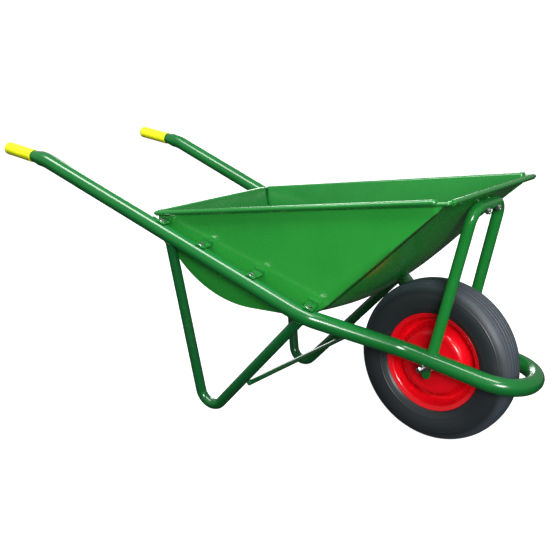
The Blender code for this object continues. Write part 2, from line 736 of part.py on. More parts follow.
def build_brackets():
    """Brackets with their screws; returns one cutter that holds all the screw holes."""
    holes = []
    brackets = []
    head_level = TUBE_RADIUS + GAP * 2 + BRACKET_SHEET + GAP
    first = REAR_RIM_X + FIRST_BRACKET_AHEAD
    last = bend_x - LAST_BRACKET_BEHIND_BEND
    for sign, side_name in SIDES:
        for number, share in enumerate(BRACKET_PATTERN, 1):
            place, along, side, top = point_on_tube(first + (last - first) * share)
            outlines = bracket_outlines(place, along, side, top)
            bm = prism([placed(mirrored(outline, sign)) for outline in outlines])
            brackets.append(add_object(f"tray_bracket_{side_name}_{number}", bm, GREEN))
            seat = placed(mirrored(place + top * head_level, sign))
            matrix = looking_along(seat, mirrored(top, sign), (1, 0, 0))
            levels = [(-SCREW_LENGTH, SCREW_RADIUS * 0.75, False),
                      (-SCREW_LENGTH + SCREW_POINT, SCREW_RADIUS, False), (0.0, SCREW_RADIUS, False),
                      (0.0, SCREW_FLATS / 2, True), (SCREW_HEAD, SCREW_FLATS / 2, True)]
            add_object(f"tray_screw_{side_name}_{number}", turned(levels), ZINC, matrix)
            hole = screw_hole(SCREW_LENGTH)
            hole.transform(matrix)
            holes.append(hole)
    cutter = as_cutter(add_object("screw_hole_cutter", joined(holes), ZINC))
    for bracket in brackets:
        cut(bracket, cutter)
    return cutter


def build_nose_bolts(wrap, hoop):
    """Domed bolts through the nose panel and the hoop's crossbar, nuts under the bar."""
    point, outward = nose_surface(HOOP_BELOW_LIP)
    seat_x, seat_z = point - outward * (SHEET / 2 + NOSE_BOLT_SEAT)
    inward = (-outward[0], 0.0, -outward[1])
    through = NOSE_BOLT_SEAT + SHEET + HOOP_TRAY_GAP + 2 * HOOP_RADIUS + GAP
    holes = []
    for sign, side in SIDES:
        seat = placed((seat_x, sign * NOSE_BOLT_SPREAD, seat_z))
        matrix = looking_along(seat, inward, ACROSS)
        head = NOSE_BOLT_HEAD_RADIUS
        levels = [(-through - NOSE_BOLT_BEYOND, SCREW_RADIUS, False), (0.0, SCREW_RADIUS, False),
                  (0.0, head, False), (NOSE_BOLT_HEAD / 2, head * 0.9, False),
                  (NOSE_BOLT_HEAD, head * 0.55, False)]
        add_object(f"nose_bolt_{side}", turned(levels), ZINC, matrix)
        nut_matrix = matrix @ Matrix.Translation((0, 0, -through - NUT_HEIGHT / 2))
        bm = pipe(SCREW_RADIUS + GAP, SCREW_FLATS / 2, NUT_HEIGHT, hexagon=True)
        add_object(f"nose_nut_{side}", bm, ZINC, nut_matrix)
        hole = screw_hole(through)
        hole.transform(matrix)
        holes.append(hole)
    cutter = as_cutter(add_object("nose_hole_cutter", joined(holes), ZINC))
    cut(wrap, cutter)
    cut(hoop, cutter)


# ---- axle

def build_axle():
    """The fixed axle, its straps under the loop, and what is threaded on it between them."""
    centre = placed((0.0, 0.0, AXLE_HEIGHT))
    across = Matrix.Translation(Vector(centre)) @ Matrix.Rotation(-math.pi / 2, 4, "X")
    half = AXLE_LENGTH / 2
    rod = turned([(-half, AXLE_RADIUS - CHAMFER, False), (-half + CHAMFER, AXLE_RADIUS, False),
                  (half - CHAMFER, AXLE_RADIUS, False), (half, AXLE_RADIUS - CHAMFER, False)], sides=16)
    add_object("axle", rod, ZINC, across)
    bore = AXLE_RADIUS + RUNNING_CLEARANCE
    hole = as_cutter(add_object("axle_hole_cutter", turned([(-half, bore, False), (half, bore, False)], sides=16),
                                ZINC, across))
    strap_outer = LOOP_INSIDE - GAP
    strap_inner = strap_outer - STRAP_THICKNESS
    bush_face = HUB_LENGTH / 2 + GAP + BUSH_FLANGE
    spacer_length = strap_inner - GAP - (bush_face + RUNNING_CLEARANCE)
    stations = (("axle_spacer", bush_face + RUNNING_CLEARANCE, spacer_length, AXLE_RADIUS + SPACER_WALL, False),
                ("axle_washer", strap_outer + GAP, WASHER_THICKNESS, WASHER_RADIUS, False),
                ("axle_nut", strap_outer + 2 * GAP + WASHER_THICKNESS, AXLE_NUT_HEIGHT, AXLE_NUT_FLATS / 2, True))
    for sign, side in SIDES:
        outline = []
        for k in range(9):
            angle = math.pi + math.pi * k / 8
            low = STRAP_BELOW_AXLE - STRAP_WIDTH / 2
            outline.append((STRAP_WIDTH / 2 * math.cos(angle), STRAP_WIDTH / 2 * math.sin(angle) - low))
        outline += [(STRAP_WIDTH / 2, STRAP_ABOVE_AXLE), (-STRAP_WIDTH / 2, STRAP_ABOVE_AXLE)]
        faces = [[centre + np.array([x, sign * y, z]) for x, z in outline] for y in (strap_inner, strap_outer)]
        cut(add_object(f"axle_bracket_{side}", prism(faces), GREEN), hole)
        for name, start, length, radius, hexagon in stations:
            matrix = across @ Matrix.Translation((0, 0, sign * (start + length / 2)))
            add_object(f"{name}_{side}", pipe(bore, radius, length, hexagon, 12 if hexagon else 16), ZINC, matrix)


# ---- wheel

def band(line, thickness):
    """A closed outline around a middle line, half the thickness to each side."""
    line = np.asarray(line, float)
    ahead = np.vstack([line[1:], line[-1:]]) - np.vstack([line[:1], line[:-1]])
    ahead /= np.linalg.norm(ahead, axis=1)[:, None]
    normal = np.column_stack([-ahead[:, 1], ahead[:, 0]]) * thickness / 2
    return np.vstack([line + normal, (line - normal)[::-1]])


def rim_line():
    """Middle line (radius, height) of one rim half, hub weld to flange."""
    weld = GAP / 2 + RIM_SHEET / 2
    valley = FLANGE_RADIUS - RIM_VALLEY_DEPTH
    crest = FLANGE_RADIUS - RIM_CREST_DEPTH
    hub_height = HUB_LENGTH / 2 - 0.005
    return [(HUB_RADIUS + GAP, hub_height), (0.034, hub_height - 0.001), (0.054, FLANGE_SPREAD + 0.004),
            (crest - 0.008, FLANGE_SPREAD + 0.004), (crest + 0.003, FLANGE_SPREAD - 0.002),
            (crest + 0.010, 0.014), (valley - 0.005, weld), (valley + 0.002, weld), (valley + 0.006, 0.009),
            (BEAD_SEAT_RADIUS, FLANGE_SPREAD - 0.008), (BEAD_SEAT_RADIUS + 0.002, FLANGE_SPREAD - 0.002),
            (FLANGE_RADIUS, FLANGE_SPREAD + 0.001)]


def tyre_lines():
    """The tyre's outer and inner half outlines (radius, height), crown to bead."""
    foot = FLANGE_RADIUS + RIM_SHEET / 2 + GAP * 4
    tall = TYRE_DIAMETER / 2 - foot
    shares = [(0.0, 1.0), (0.35, 0.985), (0.62, 0.93), (0.83, 0.80), (0.97, 0.60), (1.0, 0.42), (0.93, 0.20),
              (0.80, 0.04)]
    outer = [(foot + tall * up, TYRE_WIDTH / 2 * out) for out, up in shares]
    thin = 1 - TYRE_WALL / (TYRE_WIDTH / 2)
    top = tall - TYRE_WALL
    inner = [(foot + top * up, TYRE_WIDTH / 2 * thin * out) for out, up in shares[:-1]]
    toe = BEAD_SEAT_RADIUS + RIM_SHEET / 2 + GAP * 3
    heel = FLANGE_SPREAD - 0.001 - RIM_SHEET / 2 - GAP * 4
    outer += [(foot - GAP, heel), (toe, heel - 0.004)]
    inner += [(foot - 0.002, heel - TYRE_WALL), (toe, heel - TYRE_WALL - 0.003)]
    return outer, inner


def build_wheel():
    """Everything that turns, parented to an empty on the axle; local Z is the axle, out to the left."""
    pivot = bpy.data.objects.new("wheel_axis", None)
    pivot.location = Vector(placed((0.0, 0.0, AXLE_HEIGHT)))
    pivot.rotation_euler = (-math.pi / 2, 0.0, 0.0)
    bpy.context.scene.collection.objects.link(pivot)

    def turning(name, bm, finish, matrix=Matrix.Identity(4)):
        obj = add_object(name, bm, finish)
        obj.parent = pivot
        obj.matrix_basis = matrix
        return obj

    outer, inner = tyre_lines()
    loop = ([(r, -h) for r, h in reversed(outer)] + outer[1:]
            + list(reversed(inner)) + [(r, -h) for r, h in inner[1:]])
    turning("tyre", spun(loop, 36), BLACK)

    crown_radius = inner[0][0]
    centre = (crown_radius + FLANGE_RADIUS) / 2
    tall = (crown_radius - FLANGE_RADIUS) / 2 - GAP * 3
    wide = TYRE_WIDTH / 2 - 2 * TYRE_WALL
    skins = []
    for thinner in (0.0, INNER_TUBE_WALL):
        ellipse = [(centre + (tall - thinner) * math.cos(a), (wide - thinner) * math.sin(a))
                   for a in (2 * math.pi * k / 10 for k in range(10))]
        skins.append(spun(ellipse, 24))
    tube = turning("inner_tube", skins[0], BUTYL)
    cut(tube, as_cutter(turning("inner_tube_air", skins[1], BUTYL)))

    leaning = Matrix.Rotation(VALVE_ANGLE, 4, "Z") @ Matrix.Translation((centre - tall, 0.0, 0.0))
    leaning = leaning @ Matrix.Rotation(VALVE_LEAN, 4, "Y")
    root = -1.5 * INNER_TUBE_WALL
    tip = VALVE_LENGTH + VALVE_TIP_LENGTH
    stem = [(root, VALVE_RADIUS, False), (VALVE_LENGTH, VALVE_RADIUS, False),
            (VALVE_LENGTH, VALVE_TIP_RADIUS, False), (tip, VALVE_TIP_RADIUS, False)]
    turning("valve_stem", turned(stem), BRASS, leaning)
    top = tip + VALVE_CAP_TOP
    turning("valve_cap", cup([(top, VALVE_RADIUS), (VALVE_LENGTH + GAP, VALVE_RADIUS + GAP),
                              (VALVE_LENGTH + GAP, VALVE_TIP_RADIUS + GAP), (tip + GAP, VALVE_TIP_RADIUS + GAP)],
                             HEX_SIDES), BUTYL, leaning)
    hole = [(2 * root, VALVE_RADIUS + GAP, False), (VALVE_LENGTH, VALVE_RADIUS + GAP, False)]
    valve_hole = as_cutter(turning("valve_hole_cutter", turned(hole), BRASS, leaning))
    cut(tube, valve_hole)

    for sign, side in SIDES:
        outline = [(r, sign * h) for r, h in band(rim_line(), RIM_SHEET)]
        rim = turning(f"rim_half_{side}", spun(outline, 24), RED)
        if sign > 0:
            cut(rim, valve_hole)
    turning("hub", pipe(HUB_BORE, HUB_RADIUS, HUB_LENGTH, sides=16), RED)

    face = HUB_LENGTH / 2
    bore = AXLE_RADIUS + RUNNING_CLEARANCE
    body = HUB_BORE - 2 * GAP
    bush = [(bore, face - BUSH_DEPTH), (body, face - BUSH_DEPTH), (body, face + GAP),
            (HUB_RADIUS - 0.001, face + GAP), (HUB_RADIUS - 0.001, face + GAP + BUSH_FLANGE),
            (bore, face + GAP + BUSH_FLANGE)]
    for sign, side in SIDES:
        turning(f"hub_bush_{side}", spun([(r, sign * h) for r, h in bush], 16), NYLON)


def main():
    clear_scene()
    tube, tube_cutter = build_frame_tube()
    build_legs(tube_cutter)
    build_brace()
    hoop = build_hoop(tube_cutter)
    build_grips()
    wrap = build_wrap()
    build_sides()
    build_rim_wire()
    cut(tube, build_brackets())
    build_nose_bolts(wrap, hoop)
    build_axle()
    build_wheel()


main()
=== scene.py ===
# %% [markdown]
# # A wheelbarrow
#
# The barrow is a sheet steel tray on one bent tube frame, with a wheel that turns on a fixed axle.
# The engineering model of it is loaded first and never moves. This script gives each piece the
# fine surface and the finish that the engineering model leaves out: round tubes, rolled rims,
# weld beads, a ribbed tyre, pressed and painted steel.

import math

import bmesh
import bpy
import numpy as np
from mathutils import Matrix, Vector


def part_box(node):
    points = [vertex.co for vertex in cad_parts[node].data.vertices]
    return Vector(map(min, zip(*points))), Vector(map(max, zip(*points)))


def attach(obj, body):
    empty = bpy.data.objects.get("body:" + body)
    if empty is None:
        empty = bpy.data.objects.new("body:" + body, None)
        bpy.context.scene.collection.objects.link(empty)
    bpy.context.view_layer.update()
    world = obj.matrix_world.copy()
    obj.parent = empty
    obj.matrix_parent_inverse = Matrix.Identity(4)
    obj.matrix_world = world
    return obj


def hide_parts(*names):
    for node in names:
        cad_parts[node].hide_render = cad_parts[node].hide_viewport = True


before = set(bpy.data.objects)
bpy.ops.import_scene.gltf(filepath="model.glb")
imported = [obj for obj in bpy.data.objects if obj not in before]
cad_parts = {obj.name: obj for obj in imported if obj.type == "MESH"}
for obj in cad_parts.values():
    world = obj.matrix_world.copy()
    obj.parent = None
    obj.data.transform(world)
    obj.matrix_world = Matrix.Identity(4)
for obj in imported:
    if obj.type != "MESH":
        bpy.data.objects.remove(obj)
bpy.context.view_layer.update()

# %% [markdown]
# ## Measures
#
# What the frame can tell is read from it: where the axle is and how large the wheel is. The bends
# of the tubes and the folds of the tray can't be read from a box, so they are named here once,
# in metres: +X forward over the wheel, +Y to the barrow's left, +Z up.

# %% Measures read from the frame


def middle(node):
    """The centre of a node's box, as an array."""
    low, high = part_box(node)
    return (np.array(low) + np.array(high)) / 2


def extent(node):
    """The three sides of a node's box, as an array."""
    low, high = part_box(node)
    return np.array(high) - np.array(low)


AXLE = middle("axle")
TYRE_RADIUS = extent("tyre")[2] / 2
TYRE_HALF_WIDTH = extent("tyre")[1] / 2
AXLE_LENGTH = extent("axle")[1]
HUB_HALF_LENGTH = extent("hub")[1] / 2
print(f"axle at {AXLE.round(4)}, tyre {2 * TYRE_RADIUS:.3f} m across")

# %% Measures of the tubes and the tray
SHEET = 0.0012
TUBE_RADIUS = 0.019
SWAGE_RADIUS = 0.0145
LEG_RADIUS = 0.0125
BRACE_RADIUS = 0.006
AXLE_RADIUS = 0.006
WIRE_RADIUS = 0.004
CURL_RADIUS = 0.0054

HANDLE_TIP = np.array([-0.6941, 0.2486, 0.5946])
HANDLE_BEND = np.array([-0.5431, 0.2486, 0.5744])
TRAY_BEND = np.array([0.2398, 0.2140, 0.2955])
LOOP_BEND = np.array([0.4202, 0.0783, 0.2184])
NOSE_BEND = np.array([0.6773, 0.0783, 0.1775])

REAR_RIM = np.array([-0.1891, 0.4750])
REAR_FLOOR = np.array([-0.1393, 0.2686])
NOSE_FLOOR = np.array([0.2276, 0.2799])
FRONT_RIM = np.array([0.5639, 0.5840])
REAR_FOLD = 0.243
NOSE_FOLD = 0.179
NOSE_CROWN = 0.030

UP = np.array([0.0, 0.0, 1.0])
ACROSS = np.array([0.0, 1.0, 0.0])
FORWARD = np.array([1.0, 0.0, 0.0])
SIDES = ((1, "left"), (-1, "right"))

# %% [markdown]
# ## Paint, rubber and metal as node trees
#
# A shader reads better as arithmetic than as a list of nodes. `Wire` holds one output socket, and
# adding or multiplying wires adds a Math node. Every other node comes from `add_node`, which sets the
# node's own settings first and then fills its sockets with numbers or wires.

# %% A small language for shaders


def add_node(tree, kind, settings=None, inputs=None, output=0):
    """Adds one node: its settings, then its inputs, which are values or wires. Gives one output."""
    node = tree.nodes.new(kind)
    for key, value in (settings or {}).items():
        if key == "stops":
            ramp = node.color_ramp
            for element, (place, colour) in zip(ramp.elements, value):
                element.position = place
                element.color = colour
        else:
            setattr(node, key, value)
    for key, value in (inputs or {}).items():
        if isinstance(value, Wire):
            tree.links.new(value.socket, node.inputs[key])
        else:
            node.inputs[key].default_value = value
    return Wire(tree, node.outputs[output])


class Wire:
    """An output socket that arithmetic works on."""

    def __init__(self, tree, socket):
        self.tree = tree
        self.socket = socket

    def maths(self, operation, first, second):
        return add_node(self.tree, "ShaderNodeMath", {"operation": operation}, {0: first, 1: second})

    def __add__(self, other):
        return self.maths("ADD", self, other)

    def __radd__(self, other):
        return self.maths("ADD", other, self)

    def __sub__(self, other):
        return self.maths("SUBTRACT", self, other)

    def __rsub__(self, other):
        return self.maths("SUBTRACT", other, self)

    def __mul__(self, other):
        return self.maths("MULTIPLY", self, other)

    def __rmul__(self, other):
        return self.maths("MULTIPLY", other, self)

    def clear_of(self, low, high):
        """0 below low, 1 above high, and a smooth step between."""
        return add_node(self.tree, "ShaderNodeMapRange", {"interpolation_type": "SMOOTHSTEP"},
                        {"Value": self, "From Min": low, "From Max": high})


def blend_colours(share, first, second):
    """One colour where share is 0, the other where it is 1."""
    return add_node(share.tree, "ShaderNodeMix", {"data_type": "RGBA"},
                    {0: share, 6: opaque(first), 7: opaque(second)}, output=2)


def opaque(colour):
    return (*colour, 1.0)


def new_finish(name, colour, **constants):
    """A Principled material with its constant sockets set, and its tree."""
    finish = bpy.data.materials.new(name)
    finish.use_nodes = True
    finish.diffuse_color = opaque(colour)
    shader = finish.node_tree.nodes["Principled BSDF"]
    shader.inputs["Base Color"].default_value = opaque(colour)
    for key, value in constants.items():
        shader.inputs[key.replace("_", " ")].default_value = value
    return finish, finish.node_tree, shader


def drive(tree, shader, **wires):
    """Links wires to the shader's sockets; a key's underscores stand for spaces."""
    for key, wire in wires.items():
        tree.links.new(wire.socket, shader.inputs[key.replace("_", " ")])


def object_place(tree):
    """The place on the piece in its own metres."""
    return add_node(tree, "ShaderNodeTexCoord", output=3)


def speckle(tree, scale, detail=3.0, roughness=0.5):
    """Soft noise from 0 to 1 at so many lumps a metre."""
    return add_node(tree, "ShaderNodeTexNoise", {},
                    {"Vector": object_place(tree), "Scale": scale, "Detail": detail, "Roughness": roughness})


def bumped(tree, height, depth, strength=1.0):
    """A normal from a height wire, in metres of depth."""
    return add_node(tree, "ShaderNodeBump", {}, {"Height": height, "Distance": depth, "Strength": strength})


# %% [markdown]
# ## Enamel
#
# The frame, the tray and the rim are dipped or sprayed in gloss enamel. Wet enamel draws itself
# nearly flat and leaves a faint orange peel, a few tenths of a millimetre deep at most. Handling
# leaves a little haze, so the gloss is uneven. The clear layer on top is the shader's coat.

# %% Enamel finishes


def enamel(name, colour, shade, peel):
    """Gloss paint: a colour that drifts to a shade, orange peel, and patches of haze."""
    finish, tree, shader = new_finish(name, colour, Coat_Weight=0.7, Coat_Roughness=0.14,
                                       Specular_IOR_Level=0.3)
    drift = speckle(tree, 7.0, detail=4.0).clear_of(0.35, 0.72)
    fine = speckle(tree, 160.0, detail=2.0).clear_of(0.55, 0.8)
    haze = speckle(tree, 26.0, detail=6.0, roughness=0.65).clear_of(0.38, 0.75)
    tone = blend_colours(drift * 0.55 + fine * 0.2, colour, shade)
    ripple = speckle(tree, 420.0, detail=2.0) * 0.8 + speckle(tree, 60.0, detail=1.0) * 0.6
    drive(tree, shader, Base_Color=tone, Roughness=0.20 + haze * 0.14,
          Normal=bumped(tree, ripple, peel))
    return finish


FRAME_GREEN = enamel("frame_green_enamel", (0.008, 0.150, 0.027), (0.004, 0.115, 0.020), 0.00003)
# A lighter copy of the frame green for the hoop: painted light, where the hoop faces the lamps.
HOOP_PAINTED_LIGHT = enamel("hoop_painted_light_enamel", (0.014, 0.235, 0.036), (0.010, 0.190, 0.028), 0.00003)
# A darker copy of the frame green for the legs and the brace: painted shade under the tray.
LEG_PAINTED_SHADE = enamel("leg_painted_shade_enamel", (0.005, 0.095, 0.021), (0.003, 0.075, 0.016), 0.00003)
TRAY_GREEN = enamel("tray_green_enamel", (0.028, 0.345, 0.044), (0.020, 0.300, 0.037), 0.000015)
# A darker copy of the tray green for the tray's inner skin: painted shade inside the tray. The rim wire and
# the brackets take it too.
TRAY_PAINTED_SHADE = enamel("tray_painted_shade_enamel", (0.014, 0.190, 0.030), (0.010, 0.150, 0.024), 0.00002)
RIM_RED = enamel("rim_red_enamel", (0.900, 0.004, 0.012), (0.720, 0.003, 0.010), 0.00006)
enamels = (FRAME_GREEN, HOOP_PAINTED_LIGHT, LEG_PAINTED_SHADE, TRAY_GREEN, TRAY_PAINTED_SHADE, RIM_RED)
print("enamels:", ", ".join(finish.name for finish in enamels))

# %% [markdown]
# ## Rubber, vinyl, zinc and brass
#
# The tyre is matt where it has run on the ground and satin on its walls, so its roughness follows the
# distance from the axle. The grips are soft vinyl with a fine grain. Zinc plate is bright with
# pale and dark crystals. Turned brass and moulded nylon are plain.

# %% Rubber, vinyl, metal and plastic finishes


def distance_from_axle(tree):
    """How far a point is from the wheel's axle line, in metres."""
    from_axle = add_node(tree, "ShaderNodeVectorMath", {"operation": "SUBTRACT"},
                         {0: object_place(tree), 1: tuple(AXLE)})
    flat = add_node(tree, "ShaderNodeVectorMath", {"operation": "MULTIPLY"},
                    {0: from_axle, 1: (1.0, 0.0, 1.0)})
    return add_node(tree, "ShaderNodeVectorMath", {"operation": "LENGTH"}, {0: flat}, output=1)


def tyre_rubber():
    """Black rubber: satin walls, and a duller tread with a painted blue-grey sheen and dust."""
    colour = (0.020, 0.025, 0.028)
    finish, tree, shader = new_finish("tyre_rubber", colour, Specular_IOR_Level=0.55)
    tread = distance_from_axle(tree).clear_of(TYRE_RADIUS - 0.022, TYRE_RADIUS - 0.006)
    dust_and_sheen = speckle(tree, 45.0, detail=5.0, roughness=0.7)
    grain = speckle(tree, 1400.0, detail=2.0) * 0.6 + speckle(tree, 220.0) * 0.5
    # The tread's blue-grey tone is a painted sheen, mottled by a dust noise.
    tone = blend_colours(tread * (0.55 + dust_and_sheen * 0.5), colour, (0.062, 0.078, 0.098))
    drive(tree, shader, Base_Color=tone, Roughness=0.36 + tread * 0.10 + dust_and_sheen * 0.10,
          Normal=bumped(tree, grain, 0.00012))
    return finish


def soft_plastic(name, colour, shade, roughness, grain_depth, subsurface=0.0):
    """Moulded plastic with a fine grain and a slow drift of tone."""
    finish, tree, shader = new_finish(name, colour, Subsurface_Weight=subsurface)
    shader.inputs["Subsurface Radius"].default_value = (0.004, 0.004, 0.001)
    drift = speckle(tree, 30.0, detail=4.0).clear_of(0.35, 0.75)
    grain = speckle(tree, 900.0, detail=3.0)
    drive(tree, shader, Base_Color=blend_colours(drift, colour, shade),
          Roughness=roughness + grain * 0.12, Normal=bumped(tree, grain, grain_depth))
    return finish


def plated(name, colour, shade, roughness):
    """Metal in crystals a few millimetres across, each a little brighter or duller."""
    finish, tree, shader = new_finish(name, colour, Metallic=1.0)
    crystal = add_node(tree, "ShaderNodeTexVoronoi", {},
                       {"Vector": object_place(tree), "Scale": 420.0, "Randomness": 1.0}, output=1)
    value = add_node(tree, "ShaderNodeSeparateColor", {}, {0: crystal})
    scratch = speckle(tree, 700.0, detail=3.0)
    drive(tree, shader, Base_Color=blend_colours(value, colour, shade),
          Roughness=roughness + value * 0.14, Normal=bumped(tree, scratch, 0.00003))
    return finish


TYRE_BLACK = tyre_rubber()
BUTYL_BLACK = soft_plastic("butyl_rubber", (0.030, 0.030, 0.032), (0.020, 0.020, 0.022), 0.60, 0.00006)
CAP_BLACK = soft_plastic("cap_plastic", (0.020, 0.020, 0.021), (0.028, 0.028, 0.030), 0.42, 0.00003)
GRIP_YELLOW = soft_plastic("grip_vinyl", (0.860, 0.920, 0.012), (0.780, 0.880, 0.010), 0.36, 0.00010, 0.15)
NYLON_WHITE = soft_plastic("bush_nylon", (0.760, 0.750, 0.700), (0.700, 0.690, 0.640), 0.38, 0.00002)
ZINC = plated("zinc_plate", (0.800, 0.820, 0.800), (0.600, 0.620, 0.630), 0.20)
BRASS = plated("valve_brass", (0.720, 0.520, 0.200), (0.620, 0.430, 0.150), 0.26)
print(len(bpy.data.materials), "materials so far")

# %% [markdown]
# ## Surfaces from grids
#
# Nearly every new piece is a grid of points: rows along the piece, columns across or round it. numpy
# works out all the points at once, and neighbouring points make the faces. Where a row shrinks to one
# point its doubles are merged, which closes a pole, and then the faces are turned to point outwards.

# %% From grids to pieces
DOUBLES = 1e-6


def skin(grid, round_rows=False, round_columns=False):
    """The points of a grid and the faces between neighbours; a round direction joins its ends."""
    rows, columns = grid.shape[:2]
    index = np.arange(rows * columns).reshape(rows, columns)
    if round_rows:
        index = np.vstack([index, index[:1]])
    if round_columns:
        index = np.hstack([index, index[:, :1]])
    faces = np.stack([index[:-1, :-1], index[:-1, 1:], index[1:, 1:], index[1:, :-1]], axis=-1)
    return grid.reshape(-1, 3), faces.reshape(-1, 4)


def together(skins):
    """Several skins as one."""
    starts = np.cumsum([0] + [len(points) for points, _ in skins[:-1]])
    points = np.vstack([points for points, _ in skins])
    faces = np.vstack([faces + start for (_, faces), start in zip(skins, starts)])
    return points, faces


def place_piece(name, mesh, finish, slot, body="frame", nodes=(), sharp=32.0):
    """Puts a mesh in the scene as a named piece that rides on a body and stands for CAD nodes."""
    mesh.shade_smooth()
    mesh.set_sharp_from_angle(angle=math.radians(sharp))
    mesh.materials.append(finish)
    piece = bpy.data.objects.new(name, mesh)
    bpy.context.scene.collection.objects.link(piece)
    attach(piece, body)
    if nodes:
        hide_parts(*nodes)
    return piece


def add_piece(name, shape, finish, slot, closed=True, **placing):
    """Makes a skin a mesh, merges its doubles, turns a closed one outwards, and places it."""
    points, faces = shape
    mesh = bpy.data.meshes.new(name)
    mesh.from_pydata(points.tolist(), [], faces.tolist())
    bm = bmesh.new()
    bm.from_mesh(mesh)
    bmesh.ops.remove_doubles(bm, verts=bm.verts[:], dist=DOUBLES)
    if closed:
        bmesh.ops.recalc_face_normals(bm, faces=bm.faces[:])
    bm.to_mesh(mesh)
    bm.free()
    return place_piece(name, mesh, finish, slot, **placing)


def thicken(piece, thickness, inside):
    """Gives an open sheet its thickness, half to each side, and its inner skin a darker finish of its own:
    painted shade.
    """
    piece.data.materials.append(inside)
    solid = piece.modifiers.new("thickness", "SOLIDIFY")
    solid.material_offset = 1
    solid.thickness = thickness
    solid.offset = 0.0
    solid.use_even_offset = True


def unit(vectors):
    """Vectors of length 1, along the last axis."""
    vectors = np.asarray(vectors, float)
    return vectors / np.linalg.norm(vectors, axis=-1, keepdims=True)


def mirrored(points, sign):
    """Points of the left side, taken across to the side of the sign."""
    return np.asarray(points, float) * np.array([1.0, sign, 1.0])


def square_to(axis, reference):
    """Two directions square to an axis and to each other, the first square to the reference too."""
    first = unit(np.cross(axis, reference if abs(axis @ reference) < 0.9 else UP))
    return first, np.cross(axis, first)


def full_turn(count):
    """So many angles round a circle, evenly, without the last that repeats the first."""
    return np.linspace(0, 2 * math.pi, count, endpoint=False)


def on_circle(angle, first, second):
    """The direction at each angle: first times its cosine plus second times its sine."""
    return np.cos(angle)[..., None] * first + np.sin(angle)[..., None] * second


def ways_along(line):
    """At each point of an open line, the unit direction from the point before to the point after."""
    steps = np.diff(line, axis=0)
    return unit(np.vstack([steps[:1], steps[:-1] + steps[1:], steps[-1:]]))


# %% [markdown]
# ## Bent lines
#
# A tube is bent on a former, so its middle line is straight runs joined by arcs. `bent_line` takes the
# corners that the straight runs would meet at and the bending radius of each. A smooth outline with
# no single radius, such as a tyre's section, goes through its points on a Catmull-Rom curve.

# %% Lines


def bent_line(corners, radii, steps):
    """The path along straight runs, with an arc of each radius at its corner, 0 for none."""
    corners = [np.asarray(corner, float) for corner in corners]
    runs = [corners[:1]]
    for before, corner, after, radius in zip(corners, corners[1:], corners[2:], radii[1:-1]):
        back = unit(before - corner)
        ahead = unit(after - corner)
        half = math.acos(np.clip(back @ ahead, -1, 1)) / 2
        centre = corner + unit(back + ahead) * radius / math.sin(half)
        start = corner + back * radius / math.tan(half) - centre
        finish = corner + ahead * radius / math.tan(half) - centre
        sweep = math.pi - 2 * half
        t = np.linspace(0, 1, steps + 1)[:, None]
        runs.append(centre + (np.sin((1 - t) * sweep) * start + np.sin(t * sweep) * finish) / math.sin(sweep))
    return np.vstack(runs + [corners[-1:]])


def through_points(points, steps):
    """A Catmull-Rom curve: each span is a cubic whose end slopes are half its neighbours' difference."""
    points = np.asarray(points, float)
    padded = np.vstack([2 * points[0] - points[1], points, 2 * points[-1] - points[-2]])
    p0, p1, p2, p3 = (padded[k:len(padded) - 3 + k, None] for k in range(4))
    t = np.linspace(0, 1, steps, endpoint=False)[None, :, None]
    curve = 0.5 * (2 * p1 + (p2 - p0) * t + (2 * p0 - 5 * p1 + 4 * p2 - p3) * t ** 2
                   + (3 * p1 - p0 - 3 * p2 + p3) * t ** 3)
    return np.vstack([curve.reshape(-1, points.shape[1]), points[-1:]])


def line_frames(path, reference, closed=False):
    """The direction, side and top at each path point; the top leans towards the reference."""
    if closed:
        ahead = np.roll(path, -1, axis=0) - path
        back = path - np.roll(path, 1, axis=0)
    else:
        steps = np.diff(path, axis=0)
        ahead = np.vstack([steps, steps[-1:]])
        back = np.vstack([steps[:1], steps])
    direction = unit(unit(ahead) + unit(back))
    top = unit(reference - direction * (direction @ reference)[:, None])
    return direction, np.cross(direction, top), top


def swept(path, radius, reference=UP, sides=40, closed=False):
    """A round bar: each path point carries a circle of its radius, square to the path."""
    _, side, top = line_frames(path, reference, closed)
    angle = full_turn(sides)[None, :, None]
    radius = np.broadcast_to(radius, len(path))[:, None, None]
    grid = path[:, None] + radius * (np.cos(angle) * top[:, None] + np.sin(angle) * side[:, None])
    return skin(grid, round_rows=closed, round_columns=True)


POLE_RISE = 0.00001


def capped(path, radius, edge):
    """The path and radii of a bar with disc ends: a quarter circle of the edge radius, then a pole."""
    radius = np.broadcast_to(radius, len(path)).astype(float)
    turn = np.linspace(0, math.pi / 2, 5)
    starts = []
    for end, inward in ((path[0], unit(path[1] - path[0])), (path[-1], unit(path[-2] - path[-1]))):
        starts.append(end + inward * (edge * (1 - np.sin(turn)))[:, None])
    shrink = edge * (1 - np.cos(turn))
    outward = unit(np.array([path[0] - path[1], path[-1] - path[-2]])) * POLE_RISE
    from_ends = np.linalg.norm(path[:, None] - path[[0, -1]], axis=2).min(axis=1)
    clear = from_ends > 1.2 * edge
    points = np.vstack([path[:1] + outward[0], starts[0][::-1], path[clear],
                        starts[1], path[-1:] + outward[1]])
    radii = np.concatenate([[0.0], radius[0] - shrink[::-1], radius[clear], radius[-1] - shrink, [0.0]])
    return points, radii


def turned(outline, place, axis, steps=64, closed=True):
    """An outline of (radius, height) pairs turned a full circle round an axis through a place."""
    outline = np.asarray(outline, float)
    axis = unit(axis)
    first, second = square_to(axis, ACROSS)
    ring = on_circle(full_turn(steps), first, second)
    grid = np.asarray(place) + outline[:, 1, None, None] * axis + outline[:, 0, None, None] * ring
    return skin(grid, round_rows=closed, round_columns=True)


# %% [markdown]
# ## The main tube
#
# Handles, sides and wheel loop are one bent tube. Each end is swaged down so that a grip slides on.
# It could be a curve with a round bevel; a sweep worked out here gives the swage and the same smooth
# bends, and the left half is mirrored across to make the right.

